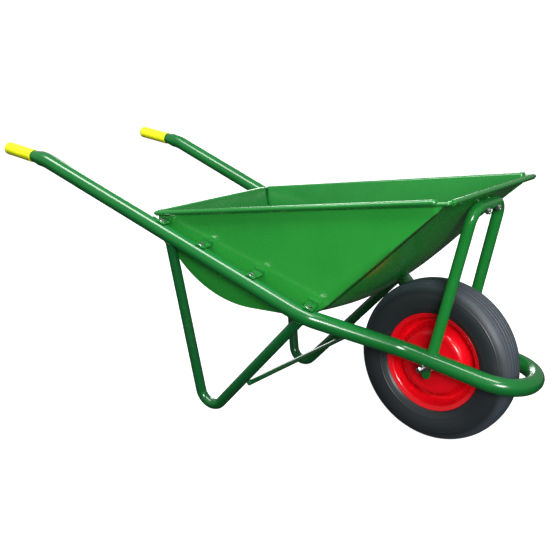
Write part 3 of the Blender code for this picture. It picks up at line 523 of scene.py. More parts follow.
# %% Main tube
GRIP_WALL = 0.004
handle_line = unit(HANDLE_BEND - HANDLE_TIP)
half_corners = [HANDLE_TIP + GRIP_WALL * handle_line, HANDLE_BEND, TRAY_BEND, LOOP_BEND, NOSE_BEND]
half_radii = [0.0, 0.120, 0.100, 0.100, 0.077]
tube_line = bent_line(half_corners + [mirrored(c, -1) for c in half_corners[::-1]],
                      half_radii + half_radii[::-1], 14)


def with_swage(path):
    """Adds the swage's points near both ends, and gives the radius at each point of the path."""
    along = np.array([0.104, 0.107, 0.112, 0.120, 0.128, 0.131, 0.134])
    swell = np.array([0.0, 0.03, 0.18, 0.5, 0.82, 0.97, 1.0])
    points = HANDLE_TIP + along[:, None] * handle_line
    radii = SWAGE_RADIUS + (TUBE_RADIUS - SWAGE_RADIUS) * swell
    whole = np.vstack([path[:1], points, path[1:-1], mirrored(points[::-1], -1), path[-1:]])
    plain = np.full(len(path) - 2, TUBE_RADIUS)
    return whole, np.concatenate([[SWAGE_RADIUS], radii, plain, radii[::-1], [SWAGE_RADIUS]])


main_path, main_radii = with_swage(tube_line)
main_path_ends, main_radii_ends = capped(main_path, main_radii, 0.001)
main_tube = add_piece("bent_main_tube", swept(main_path_ends, main_radii_ends, sides=48),
                      FRAME_GREEN, "frame_paint", nodes=("main_frame_tube",))
print(f"main tube: {len(main_tube.data.polygons)} faces")


def tube_at(x):
    """The centre, direction, side and top of the left tube beside the tray at a given X."""
    half = main_path[:len(main_path) // 2]
    values = np.hstack([half, *line_frames(half, UP)])
    order = np.argsort(half[:, 0])
    found = np.array([np.interp(x, half[order, 0], column[order]) for column in values.T])
    return found[:3], unit(found[3:6]), unit(found[6:9]), unit(found[9:])


# %% [markdown]
# ## Legs, brace and hoop
#
# Each leg is a tube bent into a V whose foot is an arc on the ground; its plane leans, because the foot
# stands closer in than the main tube. The brace is a plain rod under both front struts. The hoop
# stands on the wheel loop and carries the tray's nose.

# %% Legs
FOOT = np.array([-0.0469, 0.192, LEG_RADIUS])
FOOT_BEND = 0.035
LEG_REAR_X = REAR_RIM[0] + 0.050
LEG_FRONT_X = TRAY_BEND[0] - 0.004


def touch_angle(centre, outside, radius, turn):
    """The bearing at which a line from an outside point touches a circle."""
    reach = outside - centre
    return math.atan2(reach[1], reach[0]) + turn * math.acos(radius / np.linalg.norm(reach))


def leg_line():
    """Down the rear strut, round the foot and up the front strut, in the leg's leaning plane."""
    rear = tube_at(LEG_REAR_X)[0]
    front = tube_at(LEG_FRONT_X)[0]
    centre = np.array([FOOT[0], FOOT[2] + FOOT_BEND])
    start = touch_angle(centre, rear[[0, 2]], FOOT_BEND, 1)
    finish = touch_angle(centre, front[[0, 2]], FOOT_BEND, -1) + 2 * math.pi
    angle = np.linspace(start, finish, 28)
    arc = centre + FOOT_BEND * np.column_stack([np.cos(angle), np.sin(angle)])
    flat = np.vstack([rear[[0, 2]], arc, front[[0, 2]]])
    ends = np.array([rear, front])
    lean = np.linalg.solve(ends[:, [0, 2]] - FOOT[[0, 2]], ends[:, 1] - FOOT[1])
    return np.column_stack([flat[:, 0], FOOT[1] + (flat - FOOT[[0, 2]]) @ lean, flat[:, 1]])


leg_path = leg_line()
# The legs take the darker copy of the frame green: painted shade under the tray.
for sign, side_name in SIDES:
    add_piece(f"bent_leg_{side_name}", swept(mirrored(leg_path, sign), LEG_RADIUS, ACROSS),
              LEG_PAINTED_SHADE, "frame_paint", nodes=(f"leg_{side_name}",))
print(f"leg foot at {FOOT[:2]}, struts meet the tube at X {LEG_REAR_X:.3f} and {LEG_FRONT_X:.3f}")

# %% Brace
brace_centre = middle("leg_brace")
brace_half = extent("leg_brace")[1] / 2
brace_ends = np.array([brace_centre + ACROSS * brace_half, brace_centre - ACROSS * brace_half])
brace_path, brace_radii = capped(np.linspace(*brace_ends, 5), BRACE_RADIUS, 0.0012)
# The brace takes the darker copy of the frame green: painted shade under the tray.
add_piece("brace_rod", swept(brace_path, brace_radii, sides=24), LEG_PAINTED_SHADE, "frame_paint",
          nodes=("leg_brace",))
print(f"brace {2 * brace_half:.3f} m long")

# %% Nose panel and hoop
nose_angle = math.atan2(*(FRONT_RIM - NOSE_FLOOR)[::-1])
nose_out = np.array([math.sin(nose_angle), -math.cos(nose_angle)])
nose_up = np.array([math.cos(nose_angle), math.sin(nose_angle)])
floor_angle = math.atan2(*(NOSE_FLOOR - REAR_FLOOR)[::-1])
nose_turn = nose_angle - floor_angle
NOSE_SLOPE = np.linalg.norm(FRONT_RIM - NOSE_FLOOR) + NOSE_FOLD * (nose_turn - math.tan(nose_turn / 2))
HOOP_BELOW_LIP = 0.036
HOOP_FOOT = np.array([0.4782, 0.0783, 0.2092])
HOOP_TOP_HALF = 0.068
HOOP_GAP = 0.0008


def bow(below_lip):
    """How far the nose panel's middle stands out: half a sine wave down the slope."""
    inside = (below_lip > 0) & (below_lip < NOSE_SLOPE)
    return np.where(inside, NOSE_CROWN * np.sin(math.pi * np.clip(below_lip / NOSE_SLOPE, 0, 1)), 0.0)


def nose_place(below_lip):
    """The nose sheet's middle line (x, z) and its outward normal at a distance below the lip."""
    step = 0.001
    tilt = (bow(below_lip + step) - bow(below_lip - step)) / (2 * step)
    return FRONT_RIM - nose_up * below_lip + nose_out * bow(below_lip), unit(nose_out + tilt * nose_up)


nose_point, nose_normal = nose_place(HOOP_BELOW_LIP)
hoop_x, hoop_z = nose_point + nose_normal * (SHEET / 2 + LEG_RADIUS + HOOP_GAP)
hoop_half = [HOOP_FOOT, np.array([hoop_x, HOOP_TOP_HALF, hoop_z])]
hoop_path = bent_line(hoop_half + [mirrored(p, -1) for p in hoop_half[::-1]], (0, 0.034, 0.034, 0), 14)
# The hoop takes the lighter copy of the frame green: painted light.
add_piece("bent_front_hoop", swept(hoop_path, LEG_RADIUS, FORWARD), HOOP_PAINTED_LIGHT, "frame_paint",
          nodes=("front_hoop",))
print(f"hoop crossbar at X {hoop_x:.3f}, Z {hoop_z:.3f}")

# %% [markdown]
# ## Weld beads
#
# Where one tube is welded on the side of another, the seam is the curve in which two cylinders meet.
# Each line along the branch tube's skin meets the main tube where a quadratic says so; the bead is
# a thin round bar along those points, with the ripples that the torch leaves.

# %% Weld beads
LEG_WELD_RADIUS = 0.0019
LEG_WELD_RIPPLES = 26


def saddle(branch_start, branch_way, branch_radius, main_point, main_way, main_radius, count=96):
    """The closed curve where a branch tube's skin meets a main tube's skin."""
    branch_way = unit(branch_way)
    main_way = unit(main_way)
    first = unit(np.cross(branch_way, main_way))
    second = np.cross(branch_way, first)
    start = branch_start + branch_radius * on_circle(full_turn(count), first, second)
    offset = start - main_point
    offset = offset - (offset @ main_way)[:, None] * main_way
    way = branch_way - (branch_way @ main_way) * main_way
    a = way @ way
    b = offset @ way
    c = (offset * offset).sum(axis=1) - main_radius ** 2
    return start + ((np.sqrt(np.maximum(b * b - a * c, 0)) - b) / a)[:, None] * branch_way


def bead(path, radius, ripples):
    """A closed weld bead: its radius rises and falls with the torch's steps."""
    swell = radius * (1 + 0.16 * np.sin(ripples * full_turn(len(path))))
    return swept(path, swell, UP + 0.3 * FORWARD, sides=10, closed=True)


for sign, side_name in SIDES:
    welds = []
    for x, strut in ((LEG_REAR_X, leg_path[1] - leg_path[0]), (LEG_FRONT_X, leg_path[-2] - leg_path[-1])):
        centre, along, _, _ = tube_at(x)
        welds.append(saddle(centre, strut, LEG_RADIUS, centre, along, TUBE_RADIUS))
    centre, along, _, _ = tube_at(HOOP_FOOT[0])
    welds.append(saddle(centre, hoop_path[1] - hoop_path[0], LEG_RADIUS, centre, along, TUBE_RADIUS))
    beads = [bead(mirrored(weld, sign), LEG_WELD_RADIUS, LEG_WELD_RIPPLES) for weld in welds]
    add_piece(f"frame_welds_{side_name}", together(beads), FRAME_GREEN, "frame_paint")
print("6 saddle welds")


# %% [markdown]
# ## The tray
#
# One long sheet makes the rear wall, the floor and the nose, and two side panels are welded into it by
# their folded lower edges. Every rim is rolled outwards over a wire. A rolled rim is most of
# a circle about the wire, so the sheet's outline simply goes on round that circle.

# %% Tray outline and side planes
REAR_RIM_HALF_WIDTH = 0.2155
SIDE_TAPER = -0.032
SIDE_LEAN = 0.156
SIDE_FLANGE = 0.012
FLANGE_CLEARANCE = 0.0006
EDGE_CLEARANCE = 0.0006
CORNER_MARGIN = 0.008
side_normal = unit((-SIDE_TAPER, 1.0, -SIDE_LEAN))
rim_slope = (FRONT_RIM - REAR_RIM)[1] / (FRONT_RIM - REAR_RIM)[0]
rim_along = unit((1.0, SIDE_TAPER + SIDE_LEAN * rim_slope, rim_slope))
rim_up = -np.cross(side_normal, rim_along)
CURL_TURN = np.radians(np.linspace(285, 10, 20))


def side_plane(x, z):
    """Half width over the outer faces of the side panels at a place."""
    return REAR_RIM_HALF_WIDTH + SIDE_TAPER * (x - REAR_RIM[0]) + SIDE_LEAN * (z - REAR_RIM[1])


def tray_line(slope_rows=26):
    """The sheet's side outline (x, z) from rear rim to front rim, with normals and distances to the lip."""
    corners = [np.array([x, 0.0, z]) for x, z in (REAR_RIM, REAR_FLOOR, NOSE_FLOOR, FRONT_RIM)]
    line = bent_line(corners, (0, REAR_FOLD, NOSE_FOLD, 0), 22)[:, [0, 2]]
    share = np.linspace(0, 1, slope_rows)[1:, None]
    line = np.vstack([line[:1], line[:1] + (line[1] - line[0]) * 0.5, line[1:-1],
                      line[-2] + (line[-1] - line[-2]) * share])
    way = ways_along(line)
    lengths = np.linalg.norm(np.diff(line, axis=0), axis=1)
    below = np.concatenate([np.cumsum(lengths[::-1])[::-1], [0.0]])
    return line, np.column_stack([way[:, 1], -way[:, 0]]), below


def curl(edge, outward, upward):
    """The rolled rim's middle line round the wire, free end first, stopping short of the edge."""
    turn = CURL_TURN[:, None]
    return edge + outward * CURL_RADIUS + CURL_RADIUS * (upward * np.sin(turn) - outward * np.cos(turn))


tray_path, tray_normals, tray_below = tray_line()

# %% Wrap sheet: rear wall, floor and nose


def wrap_grid(columns=41):
    """Rows down the outline and columns across; the nose bows as 1 - share squared across its width."""
    rear_curl = curl(tray_path[0], tray_normals[0], unit(tray_path[0] - tray_path[1]))
    front_curl = curl(tray_path[-1], tray_normals[-1], nose_up)[::-1]
    line = np.vstack([rear_curl, tray_path, front_curl])
    flat = np.zeros((len(CURL_TURN), 2))
    normals = np.vstack([flat, tray_normals, flat])
    bows = np.concatenate([flat[:, 0], bow(tray_below), flat[:, 0]])
    half = side_plane(*tray_path.T) - (SHEET + EDGE_CLEARANCE) / side_normal[1]
    half = np.concatenate([np.full(len(flat), half[0] - CORNER_MARGIN), half,
                           np.full(len(flat), half[-1] - CORNER_MARGIN)])
    share = np.linspace(-1, 1, columns)
    out = bows[:, None] * (1 - share ** 2)
    return np.stack([line[:, :1] + normals[:, :1] * out, half[:, None] * share,
                     line[:, 1:] + normals[:, 1:] * out], axis=-1)


wrap = add_piece("tray_wrap", skin(wrap_grid()), TRAY_GREEN, "tray_paint", closed=False,
                 nodes=("tray_wrap_sheet",))
# The inner skin takes the darker inside green: painted shade inside the tray.
thicken(wrap, SHEET, TRAY_PAINTED_SHADE)
print(f"tray wrap: {len(wrap.data.polygons)} faces before its thickness")

# %% Side panels


def side_grid():
    """Columns along the rim; each goes round the rolled rim, down the panel and round the lower fold."""
    fold = tray_path + tray_normals * (SHEET + FLANGE_CLEARANCE)
    rim_z = REAR_RIM[1] + (fold[:, 0] - REAR_RIM[0]) * rim_slope
    kept = rim_z - fold[:, 1] > 0.012
    fold, rim_z, normals, below = fold[kept], rim_z[kept], tray_normals[kept], tray_below[kept]
    inward = SHEET / 2 / side_normal[1]
    rim = np.column_stack([fold[:, 0], side_plane(fold[:, 0], rim_z) - inward, rim_z])
    foot = np.column_stack([fold[:, 0], side_plane(*fold.T) - inward, fold[:, 1]])
    half = side_plane(*tray_path[kept].T)
    out = bow(below) * (1 - (1 - SIDE_FLANGE / half) ** 2)
    flange = foot - ACROSS * SIDE_FLANGE
    flange[:, [0, 2]] += normals * out[:, None]
    turn = CURL_TURN[:, None, None]
    roll = rim + CURL_RADIUS * (side_normal + rim_up * np.sin(turn) - side_normal * np.cos(turn))
    drop = np.linspace(0, 1, 9)[:, None, None]
    wall = rim + (foot - rim) * (drop * 0.985)
    bend = foot + (rim - foot) * 0.004 - ACROSS * 0.0006
    return np.concatenate([roll, wall, bend[None], (foot - ACROSS * 0.0025)[None], flange[None]])


# Each panel's inner skin takes the darker inside green: painted shade inside the tray.
for sign, side_name in SIDES:
    grid = mirrored(side_grid(), sign)
    panel = add_piece(f"tray_panel_{side_name}", skin(grid if sign > 0 else grid[:, ::-1]), TRAY_GREEN,
                      "tray_paint", closed=False, nodes=(f"tray_side_{side_name}",))
    thicken(panel, SHEET, TRAY_PAINTED_SHADE)
print("two side panels")

# %% Rim wire


def wire_line():
    """The wire's closed line: along the four rims, with a tight bend at each corner."""
    rear = tray_path[0] + tray_normals[0] * CURL_RADIUS
    front = tray_path[-1] + tray_normals[-1] * CURL_RADIUS
    outer = SHEET / 2 / side_normal[1]
    corners = []
    for x, z in (front, rear):
        y = side_plane(x, REAR_RIM[1] + (x - REAR_RIM[0]) * rim_slope) - outer + CURL_RADIUS * side_normal[1]
        corners.append(np.array([x, y, z]))
    loop = [corners[0], corners[1], mirrored(corners[1], -1), mirrored(corners[0], -1)]
    start = (loop[0] + loop[-1]) / 2
    return bent_line([start, *loop, start], (0, 0.005, 0.005, 0.005, 0.005, 0), 6)[:-1]


# The wire takes the tray's darker inside green: painted shade under the rolled rim.
add_piece("rim_wire_loop", swept(wire_line(), WIRE_RADIUS, sides=20, closed=True), TRAY_PAINTED_SHADE, "tray_paint",
          nodes=("rim_wire",))
print("rim wire bent round four corners")

# %% [markdown]
# ## Grips
#
# A grip is a vinyl sleeve, dipped or moulded, closed and rounded at the handle's end, with a slightly
# thicker lip where it was rolled on.

# %% Grips
LIP_RADIUS = 0.0165
SLEEVE_RADIUS = 0.0162
GRIP_LENGTH = 0.102
GRIP_EDGE = 0.0050
turn = np.linspace(0, math.pi / 2, 9)
grip_end = np.column_stack([SLEEVE_RADIUS - GRIP_EDGE + GRIP_EDGE * np.sin(turn),
                            GRIP_EDGE * (1 - np.cos(turn))])
grip_lip = np.array([[SLEEVE_RADIUS, 0.030], [SLEEVE_RADIUS, 0.088], [0.01625, 0.0925],
                     [LIP_RADIUS, 0.095], [LIP_RADIUS, 0.1005], [0.0161, 0.1018],
                     [0.0150, GRIP_LENGTH], [0.0150, 0.090], [0.0, 0.090]])
grip_outline = np.vstack([[[0.0, 0.0]], grip_end, grip_lip])
for sign, side_name in SIDES:
    add_piece(f"grip_sleeve_{side_name}",
              turned(grip_outline, mirrored(HANDLE_TIP, sign), mirrored(handle_line, sign), closed=False),
              GRIP_YELLOW, "grip_vinyl", nodes=(f"grip_{side_name}",))
print(f"grips {2 * LIP_RADIUS * 1000:.0f} mm across and {GRIP_LENGTH * 1000:.0f} mm long")

# %% [markdown]
# ## Brackets and straps
#
# These are flat bar, cut and folded. The engineering model already has their shape, so each piece starts
# as a copy of its node: doubles are merged, flat faces are joined up, and a bevel takes off the edges.

# %% Brackets and straps


def softened_copy(name, node, finish, slot, width):
    """A copy of a CAD node with its edges rounded."""
    bm = bmesh.new()
    bm.from_mesh(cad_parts[node].data)
    bmesh.ops.remove_doubles(bm, verts=bm.verts[:], dist=DOUBLES)
    bmesh.ops.dissolve_limit(bm, angle_limit=math.radians(2), verts=bm.verts[:], edges=bm.edges[:])
    edges = [edge for edge in bm.edges if edge.is_manifold and edge.calc_face_angle() > math.radians(40)]
    bmesh.ops.bevel(bm, geom=edges, offset=width, segments=3, profile=0.5, affect="EDGES",
                    clamp_overlap=True)
    bmesh.ops.triangulate(bm, faces=[face for face in bm.faces if len(face.verts) > 4])
    # The bevel leaves its corners in no fixed order, so they are sorted: every run gives the same mesh.
    bm.verts.index_update()
    points = np.array([vert.co for vert in bm.verts])
    order = np.lexsort(points.T)
    rank = np.argsort(order)
    faces = [[int(rank[vert.index]) for vert in face.verts] for face in bm.faces]
    faces.sort(key=sorted)
    bm.free()
    mesh = bpy.data.meshes.new(name)
    mesh.from_pydata(points[order].tolist(), [], faces)
    place_piece(name, mesh, finish, slot, nodes=(node,), sharp=30.0)


# The brackets take the tray's darker inside green: painted shade between the tube and the panel.
for _, side_name in SIDES:
    for number in range(1, 5):
        softened_copy(f"folded_bracket_{side_name}_{number}", f"tray_bracket_{side_name}_{number}",
                      TRAY_PAINTED_SHADE, "tray_paint", 0.0005)
    softened_copy(f"axle_strap_{side_name}", f"axle_bracket_{side_name}", FRAME_GREEN, "frame_paint", 0.0006)
print("8 brackets and 2 axle straps")

# %% Strap welds
STRAP_WELD_RADIUS = 0.0018
STRAP_WELD_END = 0.0012
strap_low, strap_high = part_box("axle_bracket_left")
for sign, side_name in SIDES:
    seams = []
    for x in (strap_low.x - 0.0004, strap_high.x + 0.0004):
        z = np.linspace(strap_high.z - 0.018, strap_high.z - 0.001, 24)
        seam = np.column_stack([np.full_like(z, x), np.full_like(z, strap_high.y - 0.0002), z])
        ripple = STRAP_WELD_RADIUS * (1 + 0.12 * np.sin(np.linspace(0, 28, len(z))))
        path, radii = capped(seam, ripple, STRAP_WELD_END)
        seams.append(swept(mirrored(path, sign), radii, FORWARD, sides=10))
    add_piece(f"strap_welds_{side_name}", together(seams), FRAME_GREEN, "frame_paint")
print("4 strap welds")

# %% [markdown]
# ## Nuts, screws and bolts
#
# A hexagon's radius depends only on the angle, so a nut is still a grid of angle by level. The chamfer is
# a cone that cuts the corners: each corner's height on the cone follows from its own radius.

# %% Fasteners


def hexagon(flats, place, axis, low, high, bore=0.0, dome=0.0, corner=0.94, steps=96):
    """A nut or head between two levels: flats apart, chamfered both ends, with a bore or a closed top."""
    axis = unit(axis)
    first, second = square_to(axis, FORWARD)
    angle = full_turn(steps)
    turn = (angle + math.pi / 6) % (math.pi / 3) - math.pi / 6
    reach = flats / 2 / np.cos(turn)
    flat_top = np.full(steps, flats / 2 * corner)
    sink = (reach - flat_top) * math.tan(math.radians(30))
    inner = np.full(steps, bore)
    rows = [(inner, low + 0 * angle), (flat_top, low + 0 * angle), (reach, low + sink),
            (reach, high - sink), (flat_top, high + 0 * angle), (inner, high + dome + 0 * angle)]
    ring = on_circle(angle, first, second)
    grid = np.stack([place + height[:, None] * axis + radius[:, None] * ring for radius, height in rows])
    return skin(grid, round_rows=bore > 0, round_columns=True)


def threaded_rod(place, axis, low, high, radius, pitch, threads, chamfer=0.0008, depth=None):
    """A rod whose skin rises and falls with angle plus height: a helix of that pitch on its stretches."""
    depth = pitch * 0.5 if depth is None else depth
    height = np.linspace(low, high, max(24, int((high - low) / pitch * 7)))
    angle = full_turn(30)
    phase = (height[:, None] / pitch - angle[None] / (2 * math.pi)) % 1.0
    tooth = np.abs(2 * phase - 1)
    cut = np.zeros(len(height), bool)
    for start, finish in threads:
        cut |= (height >= start) & (height <= finish)
    reach = radius - depth * tooth * cut[:, None]
    nearest = np.minimum(height - low, high - height)[:, None]
    reach = np.minimum(reach, radius - chamfer + np.minimum(nearest, chamfer))
    axis = unit(axis)
    first, second = square_to(axis, FORWARD)
    ring = on_circle(angle, first, second)
    body = place + height[:, None, None] * axis + reach[..., None] * ring
    ends = [np.broadcast_to(place + level * axis, (1, len(angle), 3)) for level in (low, high)]
    return skin(np.concatenate([ends[0], body, ends[1]]), round_columns=True)


# %% Tray screws
SCREW_RADIUS = 0.004
SCREW_FLATS = 0.013
SCREW_LENGTH = 0.014
SCREW_HEAD = 0.0053
SCREW_PITCH = 0.00125
HEAD_LEVEL = TUBE_RADIUS + 0.0039
FIRST_BRACKET_X = REAR_RIM[0] + 0.024
LAST_BRACKET_X = TRAY_BEND[0] - 0.001
for sign, side_name in SIDES:
    for number, share in enumerate((0.0, 0.29, 0.64, 1.0), 1):
        centre, _, _, top = tube_at(FIRST_BRACKET_X + (LAST_BRACKET_X - FIRST_BRACKET_X) * share)
        seat = mirrored(centre + top * HEAD_LEVEL, sign)
        top = mirrored(top, sign)
        head = hexagon(SCREW_FLATS, seat, top, 0.0, SCREW_HEAD)
        flange_outline = [(0.0, 0.0), (0.0074, 0.0), (0.0076, 0.0005), (0.0066, 0.0011), (0.0, 0.0011)]
        flange = turned(flange_outline, seat, top, steps=40, closed=False)
        shank = threaded_rod(seat, top, -SCREW_LENGTH, 0.001, SCREW_RADIUS, SCREW_PITCH, [(-0.013, -0.004)])
        add_piece(f"hex_screw_{side_name}_{number}", together([head, flange, shank]), ZINC, "zinc_plate",
                  nodes=(f"tray_screw_{side_name}_{number}",))
print("8 hex screws")

# %% Nose bolts and nuts
NOSE_BOLT_SPREAD = 0.026
NUT_HEIGHT = 0.0065
HEAD_GAP = 0.0006
NUT_GAP = 0.0003
DOME_RADIUS = 0.009
DOME_EDGE = 0.0006
DOME_RISE = 0.0024
BOLT_THROUGH = HEAD_GAP + SHEET + HOOP_GAP + 2 * LEG_RADIUS + NUT_GAP
seat_x, seat_z = nose_point - nose_normal * (SHEET / 2 + HEAD_GAP)
bolt_axis = np.array([-nose_normal[0], 0.0, -nose_normal[1]])
dome_turn = np.linspace(0, 1, 10) * math.pi / 2
dome = np.column_stack([DOME_RADIUS * np.cos(dome_turn), DOME_EDGE + DOME_RISE * np.sin(dome_turn)])
dome_outline = np.vstack([[[0.0, 0.0], [0.0086, 0.0]], dome])
for sign, side_name in SIDES:
    seat = np.array([seat_x, sign * NOSE_BOLT_SPREAD, seat_z])
    bolt_head = turned(dome_outline, seat, bolt_axis, closed=False)
    shank = threaded_rod(seat, bolt_axis, -BOLT_THROUGH - 0.010, 0.0, SCREW_RADIUS, SCREW_PITCH,
                         [(-BOLT_THROUGH - 0.0095, -BOLT_THROUGH + 0.004)])
    add_piece(f"coach_bolt_{side_name}", together([bolt_head, shank]), ZINC, "zinc_plate",
              nodes=(f"nose_bolt_{side_name}",))
    nut = hexagon(SCREW_FLATS, seat, bolt_axis, -BOLT_THROUGH - NUT_HEIGHT, -BOLT_THROUGH, bore=0.0041)
    add_piece(f"hoop_nut_{side_name}", nut, ZINC, "zinc_plate", nodes=(f"nose_nut_{side_name}",))
print("2 coach bolts with nuts")

# %% Axle with its nuts, washers and spacers
THREAD_LENGTH = 0.037
AXLE_PITCH = 0.00175
AXLE_NUT_FLATS = 0.018
AXLE_BORE = 0.0063
RING_EDGE = 0.0003
axle_foot = AXLE * [1, 0, 1]
half_axle = AXLE_LENGTH / 2
axle_threads = [(-half_axle + 0.001, -half_axle + THREAD_LENGTH),
                (half_axle - THREAD_LENGTH, half_axle - 0.001)]
axle_rod = threaded_rod(AXLE, ACROSS, -half_axle, half_axle, AXLE_RADIUS, AXLE_PITCH, axle_threads,
                        chamfer=0.001, depth=0.0008)
add_piece("axle_rod", axle_rod, ZINC, "zinc_plate", nodes=("axle",))
for sign, side_name in SIDES:
    out = sign * ACROSS
    nut_low, nut_high = sorted(abs(corner.y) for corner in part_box(f"axle_nut_{side_name}"))
    nut = hexagon(AXLE_NUT_FLATS, axle_foot, out, nut_low, nut_high, bore=AXLE_BORE)
    add_piece(f"axle_lock_nut_{side_name}", nut, ZINC, "zinc_plate", nodes=(f"axle_nut_{side_name}",))
    for kind, radius in (("washer", 0.011), ("spacer", 0.0095)):
        low, high = sorted(abs(corner.y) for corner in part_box(f"axle_{kind}_{side_name}"))
        ring = [(AXLE_BORE, low), (radius - RING_EDGE, low), (radius, low + RING_EDGE),
                (radius, high - RING_EDGE), (radius - RING_EDGE, high), (AXLE_BORE, high)]
        add_piece(f"plain_{kind}_{side_name}", turned(ring, axle_foot, out), ZINC, "zinc_plate",
                  nodes=(f"axle_{kind}_{side_name}",))
print("axle rod, 2 nuts, 2 washers, 2 spacers")

# %% [markdown]
# ## The wheel
#
# Everything that turns is a solid of revolution about the axle, so each piece is an outline of radius
# and distance from the wheel's middle plane. The tyre's section is a smooth curve through a few points;
# its ribs are grooves subtracted from the radius, and its walls carry two thin moulded rings.

# %% Tyre
FLANGE_RADIUS = 0.112
BEAD_FOOT = FLANGE_RADIUS + 0.0022
GROOVES = (0.0, 0.0095, 0.0190, 0.0275)
GROOVE_DEPTH = 0.0015
GROOVE_HALF_WIDTH = 0.0012
WALL_RINGS = (0.1275, 0.1600)
WALL_RING_HEIGHT = 0.0005
WALL_RING_HALF_WIDTH = 0.0010


def tyre_outline():
    """Half the section out of shares of width and height, mirrored, with grooves and wall rings."""
    shares = [(0.10, 0.999), (0.35, 0.985), (0.62, 0.925), (0.83, 0.80), (0.965, 0.61), (0.997, 0.43),
              (0.94, 0.20), (0.82, 0.03)]
    tall = TYRE_RADIUS - BEAD_FOOT
    half = [(BEAD_FOOT + tall * up, TYRE_HALF_WIDTH * out) for out, up in shares]
    section = through_points([(r, -h) for r, h in half[::-1]] + half, 24)
    way = ways_along(section)
    outward = np.column_stack([way[:, 1], -way[:, 0]])
    width = np.abs(section[:, 1])
    depth = np.zeros(len(section))
    for place in GROOVES:
        depth -= GROOVE_DEPTH * np.exp(-((width - place) / GROOVE_HALF_WIDTH) ** 4)
    wall = section[:, 0] < TYRE_RADIUS - 0.018
    for radius in WALL_RINGS:
        near = np.exp(-((section[:, 0] - radius) / WALL_RING_HALF_WIDTH) ** 4)
        depth += WALL_RING_HEIGHT * wall * near
    section = section + outward * depth[:, None]
    heel = [(0.1105, 0.0262), (0.1029, 0.0222)]
    bead = [(0.1029, 0.0165), (0.1100, 0.0195), (0.1200, 0.0330), (0.1450, 0.0375), (0.1660, 0.0340),
            (0.1760, 0.0200), (0.1785, 0.0)]
    inner = through_points([(r, h) for r, h in bead] + [(r, -h) for r, h in bead[-2::-1]], 5)
    return np.vstack([[(r, -h) for r, h in heel[::-1]], section, heel, inner])


outline = tyre_outline()
tyre = add_piece("pneumatic_tyre", turned(outline, AXLE, ACROSS, steps=144), TYRE_BLACK, "tyre_rubber",
                 body="wheel", nodes=("tyre",), sharp=50)
print(f"tyre: {len(tyre.data.polygons)} faces, {2 * outline[:, 0].max():.3f} m across")

# %% Rim halves
RIM_SHEET = 0.002
HUB_RADIUS = 0.017
rim_points = [(0.0175, 0.0390), (0.0240, 0.0388), (0.0340, 0.0378), (0.0460, 0.0352), (0.0560, 0.0338),
              (0.0650, 0.0338), (0.0720, 0.0312), (0.0780, 0.0220), (0.0835, 0.0075), (0.0875, 0.0016),
              (0.0930, 0.0016), (0.0968, 0.0090), (0.1004, 0.0210), (0.1030, 0.0275), (0.1085, 0.0302),
              (0.1118, 0.0318)]


def pressed_outline(points, thickness):
    """A pressed sheet's outline: the smooth line offset to each side, with a round outer edge."""
    line = through_points(points, 7)
    way = ways_along(line)
    side = np.column_stack([-way[:, 1], way[:, 0]]) * thickness / 2
    turn = np.linspace(0, math.pi, 7)[1:-1, None]
    edge = line[-1] + side[-1] * np.cos(turn) + way[-1] * thickness / 2 * np.sin(turn)
    return np.vstack([line + side, edge, (line - side)[::-1]])


for sign, side_name in SIDES:
    dish = turned(pressed_outline(rim_points, RIM_SHEET), AXLE, sign * ACROSS, steps=120)
    add_piece(f"rim_pressing_{side_name}", dish, RIM_RED, "rim_paint", body="wheel",
              nodes=(f"rim_half_{side_name}",), sharp=45)
print(f"rim {2 * FLANGE_RADIUS * 1000:.0f} mm over the flanges")

# %% Hub, bushes and hub welds
HUB_BORE = 0.0135
HUB_EDGE = 0.0005
HUB_WELD_RING = 0.0180
HUB_WELD_PLACE = 0.0400
HUB_WELD_RADIUS = 0.0016
HUB_WELD_RIPPLES = 34
hub_outline = [(HUB_BORE, -HUB_HALF_LENGTH), (HUB_RADIUS - HUB_EDGE, -HUB_HALF_LENGTH),
               (HUB_RADIUS, -HUB_HALF_LENGTH + HUB_EDGE), (HUB_RADIUS, HUB_HALF_LENGTH - HUB_EDGE),
               (HUB_RADIUS - HUB_EDGE, HUB_HALF_LENGTH), (HUB_BORE, HUB_HALF_LENGTH)]
add_piece("hub_tube", turned(hub_outline, AXLE, ACROSS), RIM_RED, "rim_paint", body="wheel", nodes=("hub",))
for sign, side_name in SIDES:
    turn = full_turn(120)
    ring = AXLE + sign * HUB_WELD_PLACE * ACROSS + HUB_WELD_RING * on_circle(turn, FORWARD, UP)
    ripple = HUB_WELD_RADIUS * (1 + 0.12 * np.sin(HUB_WELD_RIPPLES * turn))
    add_piece(f"hub_weld_{side_name}", swept(ring, ripple, ACROSS, sides=10, closed=True), RIM_RED,
              "rim_paint", body="wheel")
    low, high = sorted(abs(corner.y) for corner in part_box(f"hub_bush_{side_name}"))
    collar = high - 0.003
    bush = [(AXLE_BORE, low), (0.0129, low), (0.0129, collar), (0.0160, collar), (0.0160, high - 0.0004),
            (0.0156, high), (AXLE_BORE + 0.0004, high), (AXLE_BORE, high - 0.0004)]
    add_piece(f"flanged_bush_{side_name}", turned(bush, AXLE, sign * ACROSS), NYLON_WHITE, "nylon",
              body="wheel", nodes=(f"hub_bush_{side_name}",))
print("hub, 2 bushes and their welds")

